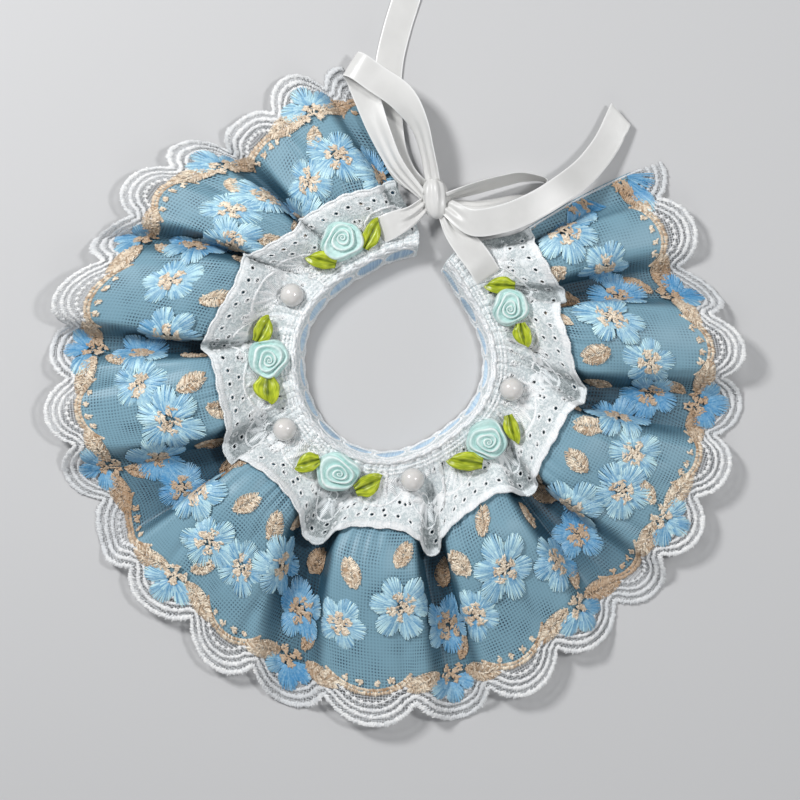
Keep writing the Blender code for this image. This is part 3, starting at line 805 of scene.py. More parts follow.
def lay_flat_map(piece, x, y):
    """A UV map that holds flat places in metres, which the weaves follow."""
    layer = piece.data.uv_layers.new(name="cut")
    corners = np.zeros(len(piece.data.loops), dtype=np.int32)
    piece.data.loops.foreach_get("vertex_index", corners)
    flat = pairs(np.ravel(x)[corners], np.ravel(y)[corners]) * MM
    layer.data.foreach_set("uv", flat.astype(np.float32).ravel())


# How deep a thread's sides sink under its foot, how far a cord looks either way for its direction, and how
# much its threads overlap
THREAD_SUNK = 0.08
CORD_LOOK = 0.4
CORD_OVERLAP = 1.35


class Stitches:
    """Gathers threads laid on a cut, and joins them into one piece."""

    def __init__(self, cut, seed):
        self.cut = cut
        self.points, self.faces, self.tones_and_painted_shade = [], [], []
        self.count = 0
        self.random = np.random.default_rng(seed)

    def lay(
        self, starts, ends, width, rise,
        level=0.0, steps=2, tone=(0.2, 0.8), round_ends=0.5, flare=0.0, fade=0.0,
    ):
        """One thread from each start to each end. level is the height of its foot: one number, or one for
        each thread or station. A flared thread widens to its end, and a faded one is darker at its start."""
        starts, ends = np.asarray(starts, float), np.asarray(ends, float)
        number = len(starts)
        if not number:
            return
        t = np.linspace(0, 1, steps + 1)
        run = ends - starts
        side = pairs(-run[:, 1], run[:, 0])
        side /= np.maximum(np.linalg.norm(side, axis=1, keepdims=True), 1e-6)
        body = np.sin(np.pi * (0.04 + 0.92 * t)) ** round_ends
        middle = starts[:, None] + run[:, None] * t[None, :, None]
        widths = np.broadcast_to(np.asarray(width, float), (number,))
        half = side[:, None] * (widths[:, None] * (body * (1 - flare * (1 - t)))[None] / 2)[..., None]
        flat = np.stack([middle - half, middle, middle + half], axis=2)
        level = np.asarray(level, float)
        foot = np.broadcast_to(level[:, None] if level.ndim == 1 else level, (number, steps + 1))
        rises = np.broadcast_to(np.asarray(rise, float), (number,))
        crown = foot + rises[:, None] * body[None]
        heights = np.stack([foot - THREAD_SUNK, crown, foot - THREAD_SUNK], axis=2)
        points = self.cut.at(flat[..., 0], flat[..., 1], heights)
        base = np.arange(number)[:, None, None] * (steps + 1) * 3 + np.arange(steps)[None, :, None] * 3
        base = base + np.arange(2)[None, None, :]
        faces = np.stack([base, base + 3, base + 4, base + 1], axis=-1).reshape(-1, 4)
        self.points.append(in_frame(points.reshape(-1, 3)))
        self.faces.append(faces + self.count)
        self.count += number * (steps + 1) * 3
        tones_and_painted_shade = self.random.uniform(*tone, (number, 1)) * (1 - fade * (1 - t))[None]
        # Painted shade: threads down between the crests are made darker
        tones_and_painted_shade = tones_and_painted_shade * (1 - HOLLOW_PAINTED_SHADE * self.cut.hollow(middle[..., 0], middle[..., 1]))
        self.tones_and_painted_shade.append(np.repeat(tones_and_painted_shade.ravel(), 3))

    def cord(self, path, width, rise, pitch=0.5, level=0.0, slant=0.25, tone=(0.3, 0.9), rough=0.14):
        """A cord of short threads wrapped across a path of flat places."""
        path = np.asarray(path, float)
        reached = distances(path)
        at = np.arange(pitch / 2, reached[-1], pitch)
        middle = places_along(path, reached, at)
        run = places_along(path, reached, at + CORD_LOOK) - places_along(path, reached, at - CORD_LOOK)
        run /= np.maximum(np.linalg.norm(run, axis=1, keepdims=True), 1e-6)
        side = pairs(-run[:, 1], run[:, 0])
        half = (side + slant * run) * width / 2 * self.random.uniform(1 - rough, 1 + rough, (len(at), 1))
        middle = middle + side * self.random.uniform(-rough, rough, (len(at), 1)) * width / 3
        starts, ends, thread = middle - half, middle + half, pitch * CORD_OVERLAP
        self.lay(starts, ends, thread, rise, level, steps=3, tone=tone, round_ends=0.8)

    def finish(self, name, material):
        """All the threads as one piece, each point with its thread's tone and the painted shade of the
        hollows.
        """
        points, faces = np.concatenate(self.points), np.concatenate(self.faces)
        return new_piece(name, points, faces, material, {"tone": np.concatenate(self.tones_and_painted_shade)})


def inside_strip(places):
    """Whether places lie between the strip's cut ends."""
    low, high = FIRST_REPEAT * REPEAT + STRIP_MARGIN, LAST_REPEAT * REPEAT - STRIP_MARGIN
    return (places[..., 0] > low) & (places[..., 0] < high)


def all_round(number):
    """Angles evenly all the way round."""
    return np.linspace(0, 2 * np.pi, number + 1)[:-1]


def fan_arc(radius, turns):
    """Offsets on an arc about a fan's foot, its middle towards the frill's edge."""
    return pairs(radius * np.sin(turns), -radius * np.cos(turns))


def on_solid(x, y, z, turn, low, high):
    """Millimetres about a solid's middle and up from its foot, swung by degrees, as places in the frame."""
    x, y = swung(x, y, turn)
    centre = (low + high) / 2
    return np.stack([x, y, z], axis=-1).reshape(-1, 3) * MM + (centre.x, centre.y, low.z)


def polar(radius, angle):
    """Places at a radius and an angle in radians from the middle."""
    return pairs(radius * np.cos(angle), radius * np.sin(angle))


def motif_threads(stitches, x, y, starts, ends):
    """A motif's threads as flat starts and ends, and which of them lie inside the strip."""
    flat = stitches.cut.motif(x, y, np.stack([starts, ends]))
    return flat[0], flat[1], inside_strip(flat[0]) & inside_strip(flat[1])


def embroider_flower(stitches, x, y, radius, petals, turn, level, spread=360.0, facing=0.0):
    """Round petals of satin threads fanned from the middle, in two courses. Every other petal is higher."""
    random = stitches.random
    step = math.radians(spread / petals)
    for petal in range(petals):
        heading = math.radians(turn + facing) + step * (petal - (petals - 1) / 2 if spread < 360 else petal)
        heading += random.uniform(-0.08, 0.08)
        size = radius * random.uniform(0.92, 1.08)
        half = min(step, 1.3) / 2 * random.uniform(0.98, 1.08)
        for inner, outer, count, raised in PETAL_COURSES:
            place = np.linspace(-1, 1, count) + random.uniform(-0.03, 0.03, count)
            fall = 1 - PETAL_FALL * np.abs(place) ** PETAL_ROUNDNESS
            reach = size * outer * fall * random.uniform(0.97, 1.03, count)
            start = polar(np.full(count, size * inner), heading + place * half * 0.75)
            end = polar(reach, heading + place * half * 0.96)
            domed = (0.05 + 0.5 * (1 - place ** 2))[:, None] * np.array(PETAL_DOME)
            start, end, keep = motif_threads(stitches, x, y, start, end)
            width = 2 * half * size * outer / count * PETAL_OVERLAP
            domed = domed[keep] + level + raised + 0.16 * (petal % 2)
            look = {"tone": (0.25, 1.0), "round_ends": 0.3, "flare": 0.4, "fade": 0.6}
            stitches.lay(start[keep], end[keep], width, rise=0.26, level=domed, steps=4, **look)


def embroider_knots(stitches, x, y, offsets, length, width, level):
    """Short fat stitches that lie every way, at offsets round a motif's middle."""
    turn = stitches.random.uniform(0, np.pi, len(offsets))
    half = polar(stitches.random.uniform(0.8, 1.2, len(offsets)) * length / 2, turn)
    start, end, keep = motif_threads(stitches, x, y, offsets - half, offsets + half)
    heights = level + stitches.random.uniform(0, 0.25, keep.sum())
    stitches.lay(start[keep], end[keep], width, rise=0.42, level=heights, tone=(0.25, 1.0), round_ends=0.6)


def embroider_star(stitches, x, y, radius, level, arms, turn):
    """Fat tan knots in a flower's middle, in uneven arms with gaps between them."""
    random, offsets = stitches.random, []
    for arm in range(arms):
        heading = math.radians(turn) + 2 * math.pi * arm / arms + random.uniform(-0.2, 0.2)
        size = radius * random.uniform(0.75, 1.1)
        reach = np.sqrt(random.uniform(0.0, 1, 24)) * size
        offsets.append(polar(reach, heading + random.uniform(-0.42, 0.42, 24)))
    embroider_knots(stitches, x, y, np.concatenate(offsets), 1.5, 0.85, level)


def embroider_leaf(stitches, x, y, heading, length, width, level):
    """A leaf filled with slanted threads off a middle vein, knotted over and stitched round."""
    turn = math.radians(heading)
    forward = np.array([math.cos(turn), math.sin(turn)])
    side = np.array([-math.sin(turn), math.cos(turn)])
    along = np.linspace(-0.46, 0.42, int(length * 1.7))
    edge = np.sin(np.pi * (along + 0.5) ** 0.85) ** 0.7 * width / 2
    lines = []
    for hand in (-1, 1):
        start = along[:, None] * length * forward
        wander = stitches.random.uniform(0.88, 1.1, len(along))[:, None]
        end = start + forward * 0.12 * length + side * hand * (edge[:, None] * wander)
        lines.append((start, end, 0.72, 2))
        rim = start + side * hand * edge[:, None] * 0.98 + forward * 0.1 * length
        lines.append((rim[:-1:2], rim[1::2] + (rim[1::2] - rim[:-1:2]) * 0.5, 0.8, 1))
    for start, end, thread, steps in lines:
        start, end, keep = motif_threads(stitches, x, y, start, end)
        stitches.lay(start[keep], end[keep], thread, rise=0.4, level=level, steps=steps, tone=(0.1, 1.0))
    count = int(length * width * 0.75)
    place = stitches.random.uniform(-0.4, 0.4, count)
    reach = np.sin(np.pi * (place + 0.5)) ** 0.7 * width / 2 * stitches.random.uniform(-0.85, 0.85, count)
    offsets = place[:, None] * length * forward + reach[:, None] * side
    embroider_knots(stitches, x, y, offsets, 1.3, 0.62, level + 0.2)


# ---------------------------------------------------------------- finishes
def start_finish(name, roughness, **sockets):
    """A material with one Principled shader. Numbers that are the same all over are on its own sockets."""
    material = bpy.data.materials.get(name) or bpy.data.materials.new(name)
    material.use_nodes = True
    tree = material.node_tree
    tree.nodes.clear()
    shader = tree.nodes.new("ShaderNodeBsdfPrincipled")
    output = tree.nodes.new("ShaderNodeOutputMaterial")
    tree.links.new(shader.outputs["BSDF"], output.inputs["Surface"])
    shader.inputs["Roughness"].default_value = roughness
    for socket, value in sockets.items():
        shader.inputs[socket.replace("_", " ")].default_value = value
    return material, tree, shader


def node(tree, kind, settings=None, **inputs):
    """A new node with its settings, and its inputs set or linked. An input is a name, or i and a number."""
    made = tree.nodes.new(kind)
    for key, value in (settings or {}).items():
        setattr(made, key, value)
    for key, value in inputs.items():
        numbered = key[0] == "i" and key[1:].isdigit()
        socket = made.inputs[int(key[1:]) if numbered else key.replace("_", " ")]
        if isinstance(value, bpy.types.NodeSocket):
            tree.links.new(value, socket)
        else:
            socket.default_value = value
    return made


def sums(tree, operation, first, second=0.0, clamp=False):
    """One sum of two values."""
    made = node(tree, "ShaderNodeMath", {"operation": operation, "use_clamp": clamp}, i0=first, i1=second)
    return made.outputs[0]


def scaled(tree, value, factor, added):
    """The value times a factor, and a number added."""
    made = node(tree, "ShaderNodeMath", {"operation": "MULTIPLY_ADD"}, i0=value, i1=factor, i2=added)
    return made.outputs[0]


def noise(tree, place, scale, detail, distortion=0.0):
    """Soft noise round a half."""
    made = node(tree, "ShaderNodeTexNoise", Vector=place, Scale=scale, Detail=detail, Distortion=distortion)
    return made.outputs["Fac"]


def object_place(tree):
    """Places in the piece's own frame."""
    return node(tree, "ShaderNodeTexCoord").outputs["Object"]


def flat_place(tree):
    """Places on the flat cut."""
    return node(tree, "ShaderNodeUVMap", {"uv_map": "cut"}).outputs["UV"]


def mixed(tree, factor, first, second):
    """The first colour at 0, the second at 1."""
    made = node(tree, "ShaderNodeMix", {"data_type": "RGBA"})
    for socket, value in ((made.inputs[0], factor), (made.inputs[6], first), (made.inputs[7], second)):
        if isinstance(value, bpy.types.NodeSocket):
            tree.links.new(value, socket)
        elif isinstance(value, (int, float)):
            socket.default_value = value
        else:
            socket.default_value = (*value[:3], 1.0)
    return made.outputs[2]


def ramp(tree, value, low, high):
    """0 below low and 1 above high, with an eased rise between."""
    made = node(tree, "ShaderNodeMapRange", {"interpolation_type": "SMOOTHSTEP"}, Value=value)
    made.inputs["From Min"].default_value, made.inputs["From Max"].default_value = low, high
    return made.outputs["Result"]


def number_at_points(tree, name):
    """A number that the piece holds at its points."""
    return node(tree, "ShaderNodeAttribute", {"attribute_name": name}).outputs["Fac"]


def raise_grain(tree, shader, height, strength, distance):
    """Makes the surface read as raised where the height is more."""
    bump = node(tree, "ShaderNodeBump", Strength=strength, Distance=distance, Height=height)
    tree.links.new(bump.outputs["Normal"], shader.inputs["Normal"])


def woven(tree, pitch, turn=0.0, waver=0.0):
    """Holes between crossed threads, from 0 on a thread to 1 in a hole, in the cut's flat places."""
    flat = flat_place(tree)
    if waver:
        cloud = node(tree, "ShaderNodeTexNoise", Vector=flat, Scale=90.0, Detail=1.0).outputs["Color"]
        shift = node(tree, "ShaderNodeVectorMath", {"operation": "SCALE"}, i0=cloud, Scale=waver).outputs[0]
        flat = node(tree, "ShaderNodeVectorMath", {"operation": "ADD"}, i0=flat, i1=shift).outputs[0]
    if turn:
        about_z = {"rotation_type": "Z_AXIS"}
        flat = node(tree, "ShaderNodeVectorRotate", about_z, Vector=flat, Angle=turn).outputs[0]
    split = node(tree, "ShaderNodeSeparateXYZ", Vector=flat)
    waves = []
    for axis in "XY":
        wave = sums(tree, "SINE", sums(tree, "MULTIPLY", split.outputs[axis], 2 * math.pi / pitch))
        waves.append(scaled(tree, wave, 0.5, 0.5))
    return sums(tree, "MULTIPLY", waves[0], waves[1])


def thread_finish(name, deep, pale, roughness):
    """Glossy embroidery thread, each strand with its own tone and fine twist. The tone also carries the
    painted shade down in the hollows.
    """
    material, tree, shader = start_finish(name, roughness, Sheen_Weight=0.25, Sheen_Roughness=0.4)
    tone = number_at_points(tree, "tone")
    place = object_place(tree)
    speck, patch = noise(tree, place, 1400.0, 2.0), noise(tree, place, 70.0, 2.0)
    blend = scaled(tree, sums(tree, "ADD", speck, patch), 0.5, -0.5)
    factor = sums(tree, "ADD", tone, blend, clamp=True)
    tree.links.new(mixed(tree, factor, deep, pale), shader.inputs["Base Color"])
    raise_grain(tree, shader, speck, 0.3, 0.0001)
    return material


def organza_finish(colours):
    """Sheer organza over net: two weaves that beat against each other, with painted shade that darkens it in
    the hollows and shows more of its dark holes there.
    """
    sheen = {"Sheen_Weight": 0.3, "Sheen_Roughness": 0.35, "Sheen_Tint": (*colours.organza_sheen, 1.0)}
    material, tree, shader = start_finish("organza", 0.45, Alpha=ORGANZA_COVER, **sheen)
    depth = number_at_points(tree, "depth")
    first, second = (ramp(tree, woven(tree, *weave), 0.16, 0.42) for weave in ORGANZA_WEAVES)
    patch = noise(tree, object_place(tree), 55.0, 2.0)
    shown = ramp(tree, sums(tree, "ADD", patch, sums(tree, "MULTIPLY", depth, 0.3)), 0.36, 0.66)
    crossed = sums(tree, "MULTIPLY", first, second)
    both = sums(tree, "MAXIMUM", crossed, sums(tree, "MULTIPLY", first, 0.4))
    hole = sums(tree, "MULTIPLY", both, scaled(tree, shown, 0.75, 0.25))
    crest = mixed(tree, hole, colours.organza, colours.organza_hole)
    # Painted shade: the darker valley colours, mixed in by the depth number
    valley_painted_shade = mixed(tree, hole, colours.organza_valley_painted_shade, colours.organza_valley_hole_painted_shade)
    tree.links.new(mixed(tree, depth, crest, valley_painted_shade), shader.inputs["Base Color"])
    raise_grain(tree, shader, sums(tree, "SUBTRACT", 1.0, hole), 0.5, 0.0002)
    return material


def cotton_finish(name, colours):
    """Cotton covered in fine white-on-white needlework, with painted shade that greys it down in the hollows.
    """
    material, tree, shader = start_finish(name, 0.85, Sheen_Weight=0.3, Sheen_Roughness=0.6)
    place = object_place(tree)
    fine, coarse = noise(tree, place, 1500.0, 2.0, 0.8), noise(tree, place, 420.0, 3.0, 1.5)
    stitched = ramp(tree, sums(tree, "MULTIPLY", sums(tree, "ADD", fine, coarse), 0.5), 0.40, 0.58)
    light = mixed(tree, stitched, colours.cotton_tint, colours.cotton)
    # Painted shade for the hollows, mixed in by the cloth's depth number
    painted_hollow_shade = mixed(tree, stitched, colours.cotton_hollow_deep_painted_shade, colours.cotton_hollow_painted_shade)
    tree.links.new(mixed(tree, number_at_points(tree, "depth"), light, painted_hollow_shade), shader.inputs["Base Color"])
    raise_grain(tree, shader, stitched, 0.6, 0.0003)
    return material


def satin_finish(name, colour, shade, rim, roughness, sheen_streak_share=0.0):
    """Satin ribbon in a soft cloudy tone. Another colour goes where its rim number is set: painted highlight
    on the roses' rims and on the ribbons' woven edges, painted shade in the leaves' creases. It has painted
    sheen streaks drawn along it, raised a little too, or else a low weave."""
    sheen = {"Sheen_Weight": 0.2, "Sheen_Roughness": 0.3}
    material, tree, shader = start_finish(name, roughness, Anisotropic=0.4, **sheen)
    tone = ramp(tree, noise(tree, object_place(tree), 110.0, 3.0), 0.35, 0.7)
    if sheen_streak_share:
        multiply = {"operation": "MULTIPLY"}
        drawn = node(tree, "ShaderNodeVectorMath", multiply, i0=flat_place(tree), i1=SHEEN_STREAK_DRAWN).outputs[0]
        crinkle_and_sheen_streak = noise(tree, drawn, 1500.0, 3.0, 0.3)
        painted_sheen_streaks = sums(tree, "MULTIPLY", ramp(tree, crinkle_and_sheen_streak, 0.4, 0.62), sheen_streak_share)
        tone = sums(tree, "ADD", sums(tree, "MULTIPLY", tone, 1 - sheen_streak_share), painted_sheen_streaks)
    base = mixed(tree, tone, colour, shade)
    # The rim number paints light: a highlight on the roses' rims and the ribbons' edges, shade in the leaves'
    # creases
    tree.links.new(mixed(tree, number_at_points(tree, "rim"), base, rim), shader.inputs["Base Color"])
    if sheen_streak_share:
        raise_grain(tree, shader, crinkle_and_sheen_streak, 0.25, 0.0001)
    else:
        raise_grain(tree, shader, woven(tree, SATIN_PITCH, SATIN_TURN), 0.2, 0.0001)
    return material


def pearl_finish(colours):
    """Pearl: a glossy coat over soft warm clouds, with painted shade darker down at the foot."""
    coat = {"Coat_Weight": 1.0, "Coat_Roughness": 0.09}
    inside = {"Subsurface_Weight": 0.1, "Subsurface_Radius": (0.002, 0.0018, 0.0016)}
    material, tree, shader = start_finish("pearl", 0.24, **coat, **inside)
    cloud = noise(tree, object_place(tree), 300.0, 2.0)
    base = mixed(tree, sums(tree, "MULTIPLY", cloud, 0.6), colours.pearl, colours.pearl_blush)
    foot_painted_shade = mixed(tree, number_at_points(tree, "foot"), base, colours.pearl_foot_painted_shade)
    tree.links.new(foot_painted_shade, shader.inputs["Base Color"])
    return material


# ---------------------------------------------------------------- sizes and colours a user would change
def size(name, description, default):
    """A length that a user would change."""
    return bpy.props.FloatProperty(
        name=name, description=description, default=default, min=0.0, unit="LENGTH", precision=5
    )


def colour(name, description, default):
    """A colour that a user would change."""
    return bpy.props.FloatVectorProperty(
        name=name, description=description, default=default, subtype="COLOR", size=3, min=0.0, max=1.0
    )


class CollarSizes(bpy.types.PropertyGroup):
    """Lengths, in metres"""

    cord_width: size("Border cord", "Width of the white cords along the scallops", 0.0017)
    tan_width: size("Tan cord", "Width of the tan cord inside the scallops", 0.0017)
    net_thread: size("Net thread", "Width of the net's threads", 0.00024)
    eyelet: size("Eyelet", "Radius of the frill's eyelets", 0.00062)
    cotton: size("Cotton", "Thickness of the eyelet cotton", 0.00035)
    ribbon: size("Ribbon", "Thickness of the satin ribbon", 0.00025)
    view_height: size("View height", "How far above the collar the camera stands", 0.8)
    view_width: size("View width", "How much of the floor the camera takes in", 0.288)


class CollarColours(bpy.types.PropertyGroup):
    """Colours of cloth, thread, pearls, floor and light"""

    organza: colour("Organza", "Organza on the crests", (0.22, 0.40, 0.50))
    organza_hole: colour("Organza, between threads", "Between threads on the crests", (0.008, 0.035, 0.07))
    organza_sheen: colour("Organza, sheen", "Light that skims over the organza", (0.35, 0.72, 0.95))
    # Painted shade: the organza's colours down in its folds
    organza_valley_painted_shade: colour("Organza, valleys", "Organza deep in the folds", (0.022, 0.085, 0.135))
    organza_valley_hole_painted_shade: colour("Organza, fold holes", "Between threads in the folds", (0.001, 0.005, 0.012))
    net: colour("Net", "White net along the scallops", (0.74, 0.76, 0.78))
    # The deep thread colours come on strands that are darker at random, and with the painted shade down
    # between the crests
    white_thread: colour("White thread", "Cords and dots of the border", (0.93, 0.93, 0.92))
    white_shade: colour("White thread, deep", "The same thread in its hollows", (0.62, 0.64, 0.66))
    blue_thread: colour("Blue thread, pale", "Flowers, where the thread catches light", (0.74, 1.0, 1.0))
    blue_shade: colour("Blue thread, deep", "Flowers, between the threads", (0.06, 0.27, 0.52))
    tan_thread: colour("Tan thread, pale", "Leaves, stars and the inner cord", (1.0, 0.90, 0.74))
    tan_shade: colour("Tan thread, deep", "The same thread in its hollows", (0.40, 0.25, 0.14))
    cotton: colour("Cotton", "Eyelet frill", (0.82, 0.86, 0.87))
    cotton_thread: colour("Cotton thread", "Needlework on the frill", (0.97, 0.97, 0.97))
    cotton_thread_shade: colour("Cotton thread, deep", "The same thread in its hollows", (0.62, 0.69, 0.72))
    cotton_tint: colour("Cotton, tint", "The frill where the blue shows through", (0.54, 0.61, 0.63))
    # Painted shade: the frill's colours down in its folds
    cotton_hollow_painted_shade: colour("Cotton, hollows", "The frill down in its folds", (0.40, 0.44, 0.45))
    cotton_hollow_deep_painted_shade: colour("Cotton, deep hollows", "Between the threads there", (0.21, 0.245, 0.255))
    band_thread: colour("Band thread", "Cords on the neck band", (0.96, 0.96, 0.96))
    band_thread_shade: colour("Band thread, deep", "The same thread in its hollows", (0.66, 0.72, 0.76))
    band_blue: colour("Band ovals, pale", "Ovals on the neck band", (0.68, 0.83, 0.94))
    band_shade: colour("Band ovals, deep", "Between the ovals' threads", (0.34, 0.53, 0.74))
    satin: colour("Satin", "Ties and bow", (0.72, 0.715, 0.70))
    satin_shade: colour("Satin, shade", "Cloudy variation of the satin", (0.68, 0.675, 0.66))
    # Painted highlight: the ribbons' woven edges are made lighter
    satin_edge_painted_highlight: colour("Satin, selvage", "The ribbons' woven edges", (0.90, 0.90, 0.89))
    rose: colour("Rose", "Ribbon roses", (0.61, 0.81, 0.775))
    # The roses' shade colour comes in their cloudy tone and their painted sheen streaks; their rims' colour
    # is a painted highlight
    rose_shade: colour("Rose, shade", "Ribbon roses, between their turns", (0.41, 0.65, 0.62))
    rose_rim_painted_highlight: colour("Rose, rims", "The roses' rolled edges", (0.90, 0.97, 0.95))
    leaf: colour("Leaf", "Satin leaves", (0.60, 0.68, 0.04))
    # The leaves' shade colour comes in their cloudy tone and their painted sheen streaks; their folds' colour
    # is painted shade in the creases
    leaf_shade: colour("Leaf, shade", "Satin leaves, in the weave's streaks", (0.30, 0.39, 0.012))
    leaf_fold_painted_shade: colour("Leaf, folds", "In the leaves' creases", (0.07, 0.11, 0.003))
    pearl: colour("Pearl", "Half-round pearls", (0.74, 0.73, 0.71))
    pearl_blush: colour("Pearl, blush", "Warm clouds in the pearls", (0.70, 0.64, 0.61))
    # Painted shade round the pearls' feet
    pearl_foot_painted_shade: colour("Pearl, edge", "Pearls down at their feet", (0.36, 0.37, 0.37))
    floor: colour("Floor", "The plain floor", (0.60, 0.60, 0.605))
    studio: colour("Studio", "Light from all round", (0.93, 0.96, 1.0))


CUTS = {}


def cut_of(name):
    """The ruffle's, the frill's or the band's cut, laid once."""
    if name not in CUTS:
        if name == "ruffle":
            CUTS[name] = RuffleCut(RUFFLE_LAYER, RUFFLE_CREASES, RUFFLE_GATHER)
        elif name == "frill":
            CUTS[name] = FrillCut(FRILL_LAYER, FRILL_CREASES, FRILL_GATHER)
        else:
            CUTS[name] = BandCut()
    return CUTS[name]


def rim_line(x, inset):
    """A line along the scallops, drawn a little shallower than their edge, at this distance in from it."""
    return pairs(x, scallop(x / REPEAT) * SCALLOP_DEPTH * EDGE_DEPTH_SHARE + inset)


def beside_edge(x, inset):
    """A line at an even distance in from the scallops' edge."""
    edge = scallop(x / REPEAT) * SCALLOP_DEPTH
    slope = np.gradient(edge, x)
    length = np.sqrt(1 + slope ** 2)
    return pairs(x - slope / length * inset, edge + inset / length)


def organza_edge(x):
    """How far in the organza's own edge lies, under the tan cord."""
    return scallop(x / REPEAT) * SCALLOP_DEPTH * EDGE_DEPTH_SHARE + TAN_CORD_IN - EDGE_TUCK


def thicken(piece, thickness):
    """Gives a single layer its cloth's thickness, half of it to each side, and keeps its faces smooth."""
    wall = piece.modifiers.new("thickness", "SOLIDIFY")
    wall.thickness = thickness
    wall.offset = 0
    piece.modifiers.new("crisp edges", "WEIGHTED_NORMAL")


class COLLAR_OT_stage(bpy.types.Operator):
    """Lay the floor, and set the soft lights and the camera"""

    bl_idname = "collar.stage"
    bl_label = "Floor, Lights and Camera"

    def execute(self, context):
        sizes, colours = context.scene.collar_sizes, context.scene.collar_colours
        mesh = bpy.data.meshes.new("floor")
        corners = [(x * FLOOR_REACH, y * FLOOR_REACH, 0) for x, y in ((-1, -1), (1, -1), (1, 1), (-1, 1))]
        mesh.from_pydata(corners, [], [(0, 1, 2, 3)])
        floor = bpy.data.objects.new("floor", mesh)
        floor.location.z = -FLOOR_DROP
        context.scene.collection.objects.link(floor)
        material, _, shader = start_finish("floor", 0.9)
        shader.inputs["Base Color"].default_value = (*colours.floor, 1)
        mesh.materials.append(material)
        world = context.scene.world or bpy.data.worlds.new("studio")
        context.scene.world = world
        world.use_nodes = True
        background = world.node_tree.nodes["Background"]
        background.inputs["Color"].default_value = (*colours.studio, 1)
        background.inputs["Strength"].default_value = WORLD_STRENGTH
        for name, place, width, power in LIGHTS:
            data = bpy.data.lights.new(name, "AREA")
            data.size, data.energy = width, power
            light = bpy.data.objects.new(name, data)
            light.location = place
            light.rotation_euler = (-Vector(place)).to_track_quat("-Z", "Y").to_euler()
            context.scene.collection.objects.link(light)
        camera = bpy.data.objects.new("camera", bpy.data.cameras.new("camera"))
        camera.location = (CAMERA_X, CAMERA_Y, sizes.view_height)
        camera.data.lens = camera.data.sensor_width * (sizes.view_height - FRAMED_HEIGHT) / sizes.view_width
        context.scene.collection.objects.link(camera)
        context.scene.camera = camera
        context.scene.view_settings.view_transform = "Standard"
        return {"FINISHED"}


class COLLAR_OT_ruffle(bpy.types.Operator):
    """Gather the organza ruffle and weave the white net along its scallops"""

    bl_idname = "collar.ruffle"
    bl_label = "Ruffle"

    def execute(self, context):
        sizes, colours = context.scene.collar_sizes, context.scene.collar_colours
        cut = cut_of("ruffle")
        columns, rows = ORGANZA_GRID
        x = np.linspace(FIRST_REPEAT * REPEAT, LAST_REPEAT * REPEAT, columns)
        outer, inner = organza_edge(x), cut_width(x / REPEAT)
        y = outer[None] + (inner - outer)[None] * np.linspace(0, 1, rows)[:, None]
        flat_x = np.broadcast_to(x, y.shape)
        # Painted shade, carried as the organza's depth number: darker down in the hollows, darker still under
        # the frill, and paler near the strip's cut ends
        shade_under_frill = 1 - smooth((1 - y / inner - UNDER_FRILL_FROM) / UNDER_FRILL_RUN)
        depth = ease(cut.hollow(flat_x, y), *ORGANZA_HOLLOWS)
        depth = depth * (OUTER_PAINTED_SHADE + PAINTED_SHADE_UNDER_FRILL * shade_under_frill)
        from_ends = smooth(np.minimum(x - x[0], x[-1] - x) / END_REACH)
        depth = np.clip(depth * (END_SHADE + (1 - END_SHADE) * from_ends), 0, 1)
        laid, finish = cut.at(flat_x, y), organza_finish(colours)
        points = in_frame(laid.reshape(-1, 3))
        organza = new_piece("organza", points, grid_faces(*y.shape), finish, {"depth": depth.ravel()})
        lay_flat_map(organza, self.weave_places(x, laid), y)
        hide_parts("ruffle_organza")
        net = self.weave_net(cut, sizes, colours)
        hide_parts("ruffle_net_edge")
        return {"FINISHED"}

    def weave_places(self, x, laid):
        """How far along each place is in the weave, by the laid cloth's length from its own flute's crest."""
        steps = np.linalg.norm(np.diff(laid, axis=1), axis=2)
        reached = np.concatenate([np.zeros((len(laid), 1)), np.cumsum(steps, axis=1)], axis=1)
        crests = (FLUTE_BOUNDS[:-1] + FLUTE_BOUNDS[1:]) / 2 * REPEAT
        crest = np.searchsorted(x, crests)[flute_of(x / REPEAT)]
        return x[crest][None] + reached - reached[:, crest]

    def weave_net(self, cut, sizes, colours):
        """Square net from the scallops' edge to just under the organza."""
        stitches = Stitches(cut, seed=3)
        first, last = FIRST_REPEAT * REPEAT + NET_END_IN, LAST_REPEAT * REPEAT - NET_END_IN - NET_PITCH
        down = np.arange(NET_MARGIN, TAN_CORD_IN + SCALLOP_DEPTH + NET_TUCK, NET_PITCH)
        x, y = np.meshgrid(np.arange(first, last, NET_PITCH), down)
        starts = pairs(x.ravel(), y.ravel())
        for step in ((NET_PITCH, 0), (0, NET_PITCH)):
            ends = starts + step
            middle = (starts + ends) / 2
            lowest = scallop(middle[:, 0] / REPEAT) * SCALLOP_DEPTH
            keep = np.minimum(starts[:, 1], ends[:, 1]) > lowest + NET_MARGIN
            keep &= middle[:, 1] < organza_edge(middle[:, 0]) + NET_TUCK
            look = {"level": -0.25, "steps": 1, "tone": (0.3, 0.8), "round_ends": 0.0}
            stitches.lay(starts[keep], ends[keep], sizes.net_thread / MM, rise=0.1, **look)
        return stitches.finish("net_edge", thread_finish("net", colours.white_shade, colours.net, 0.7))


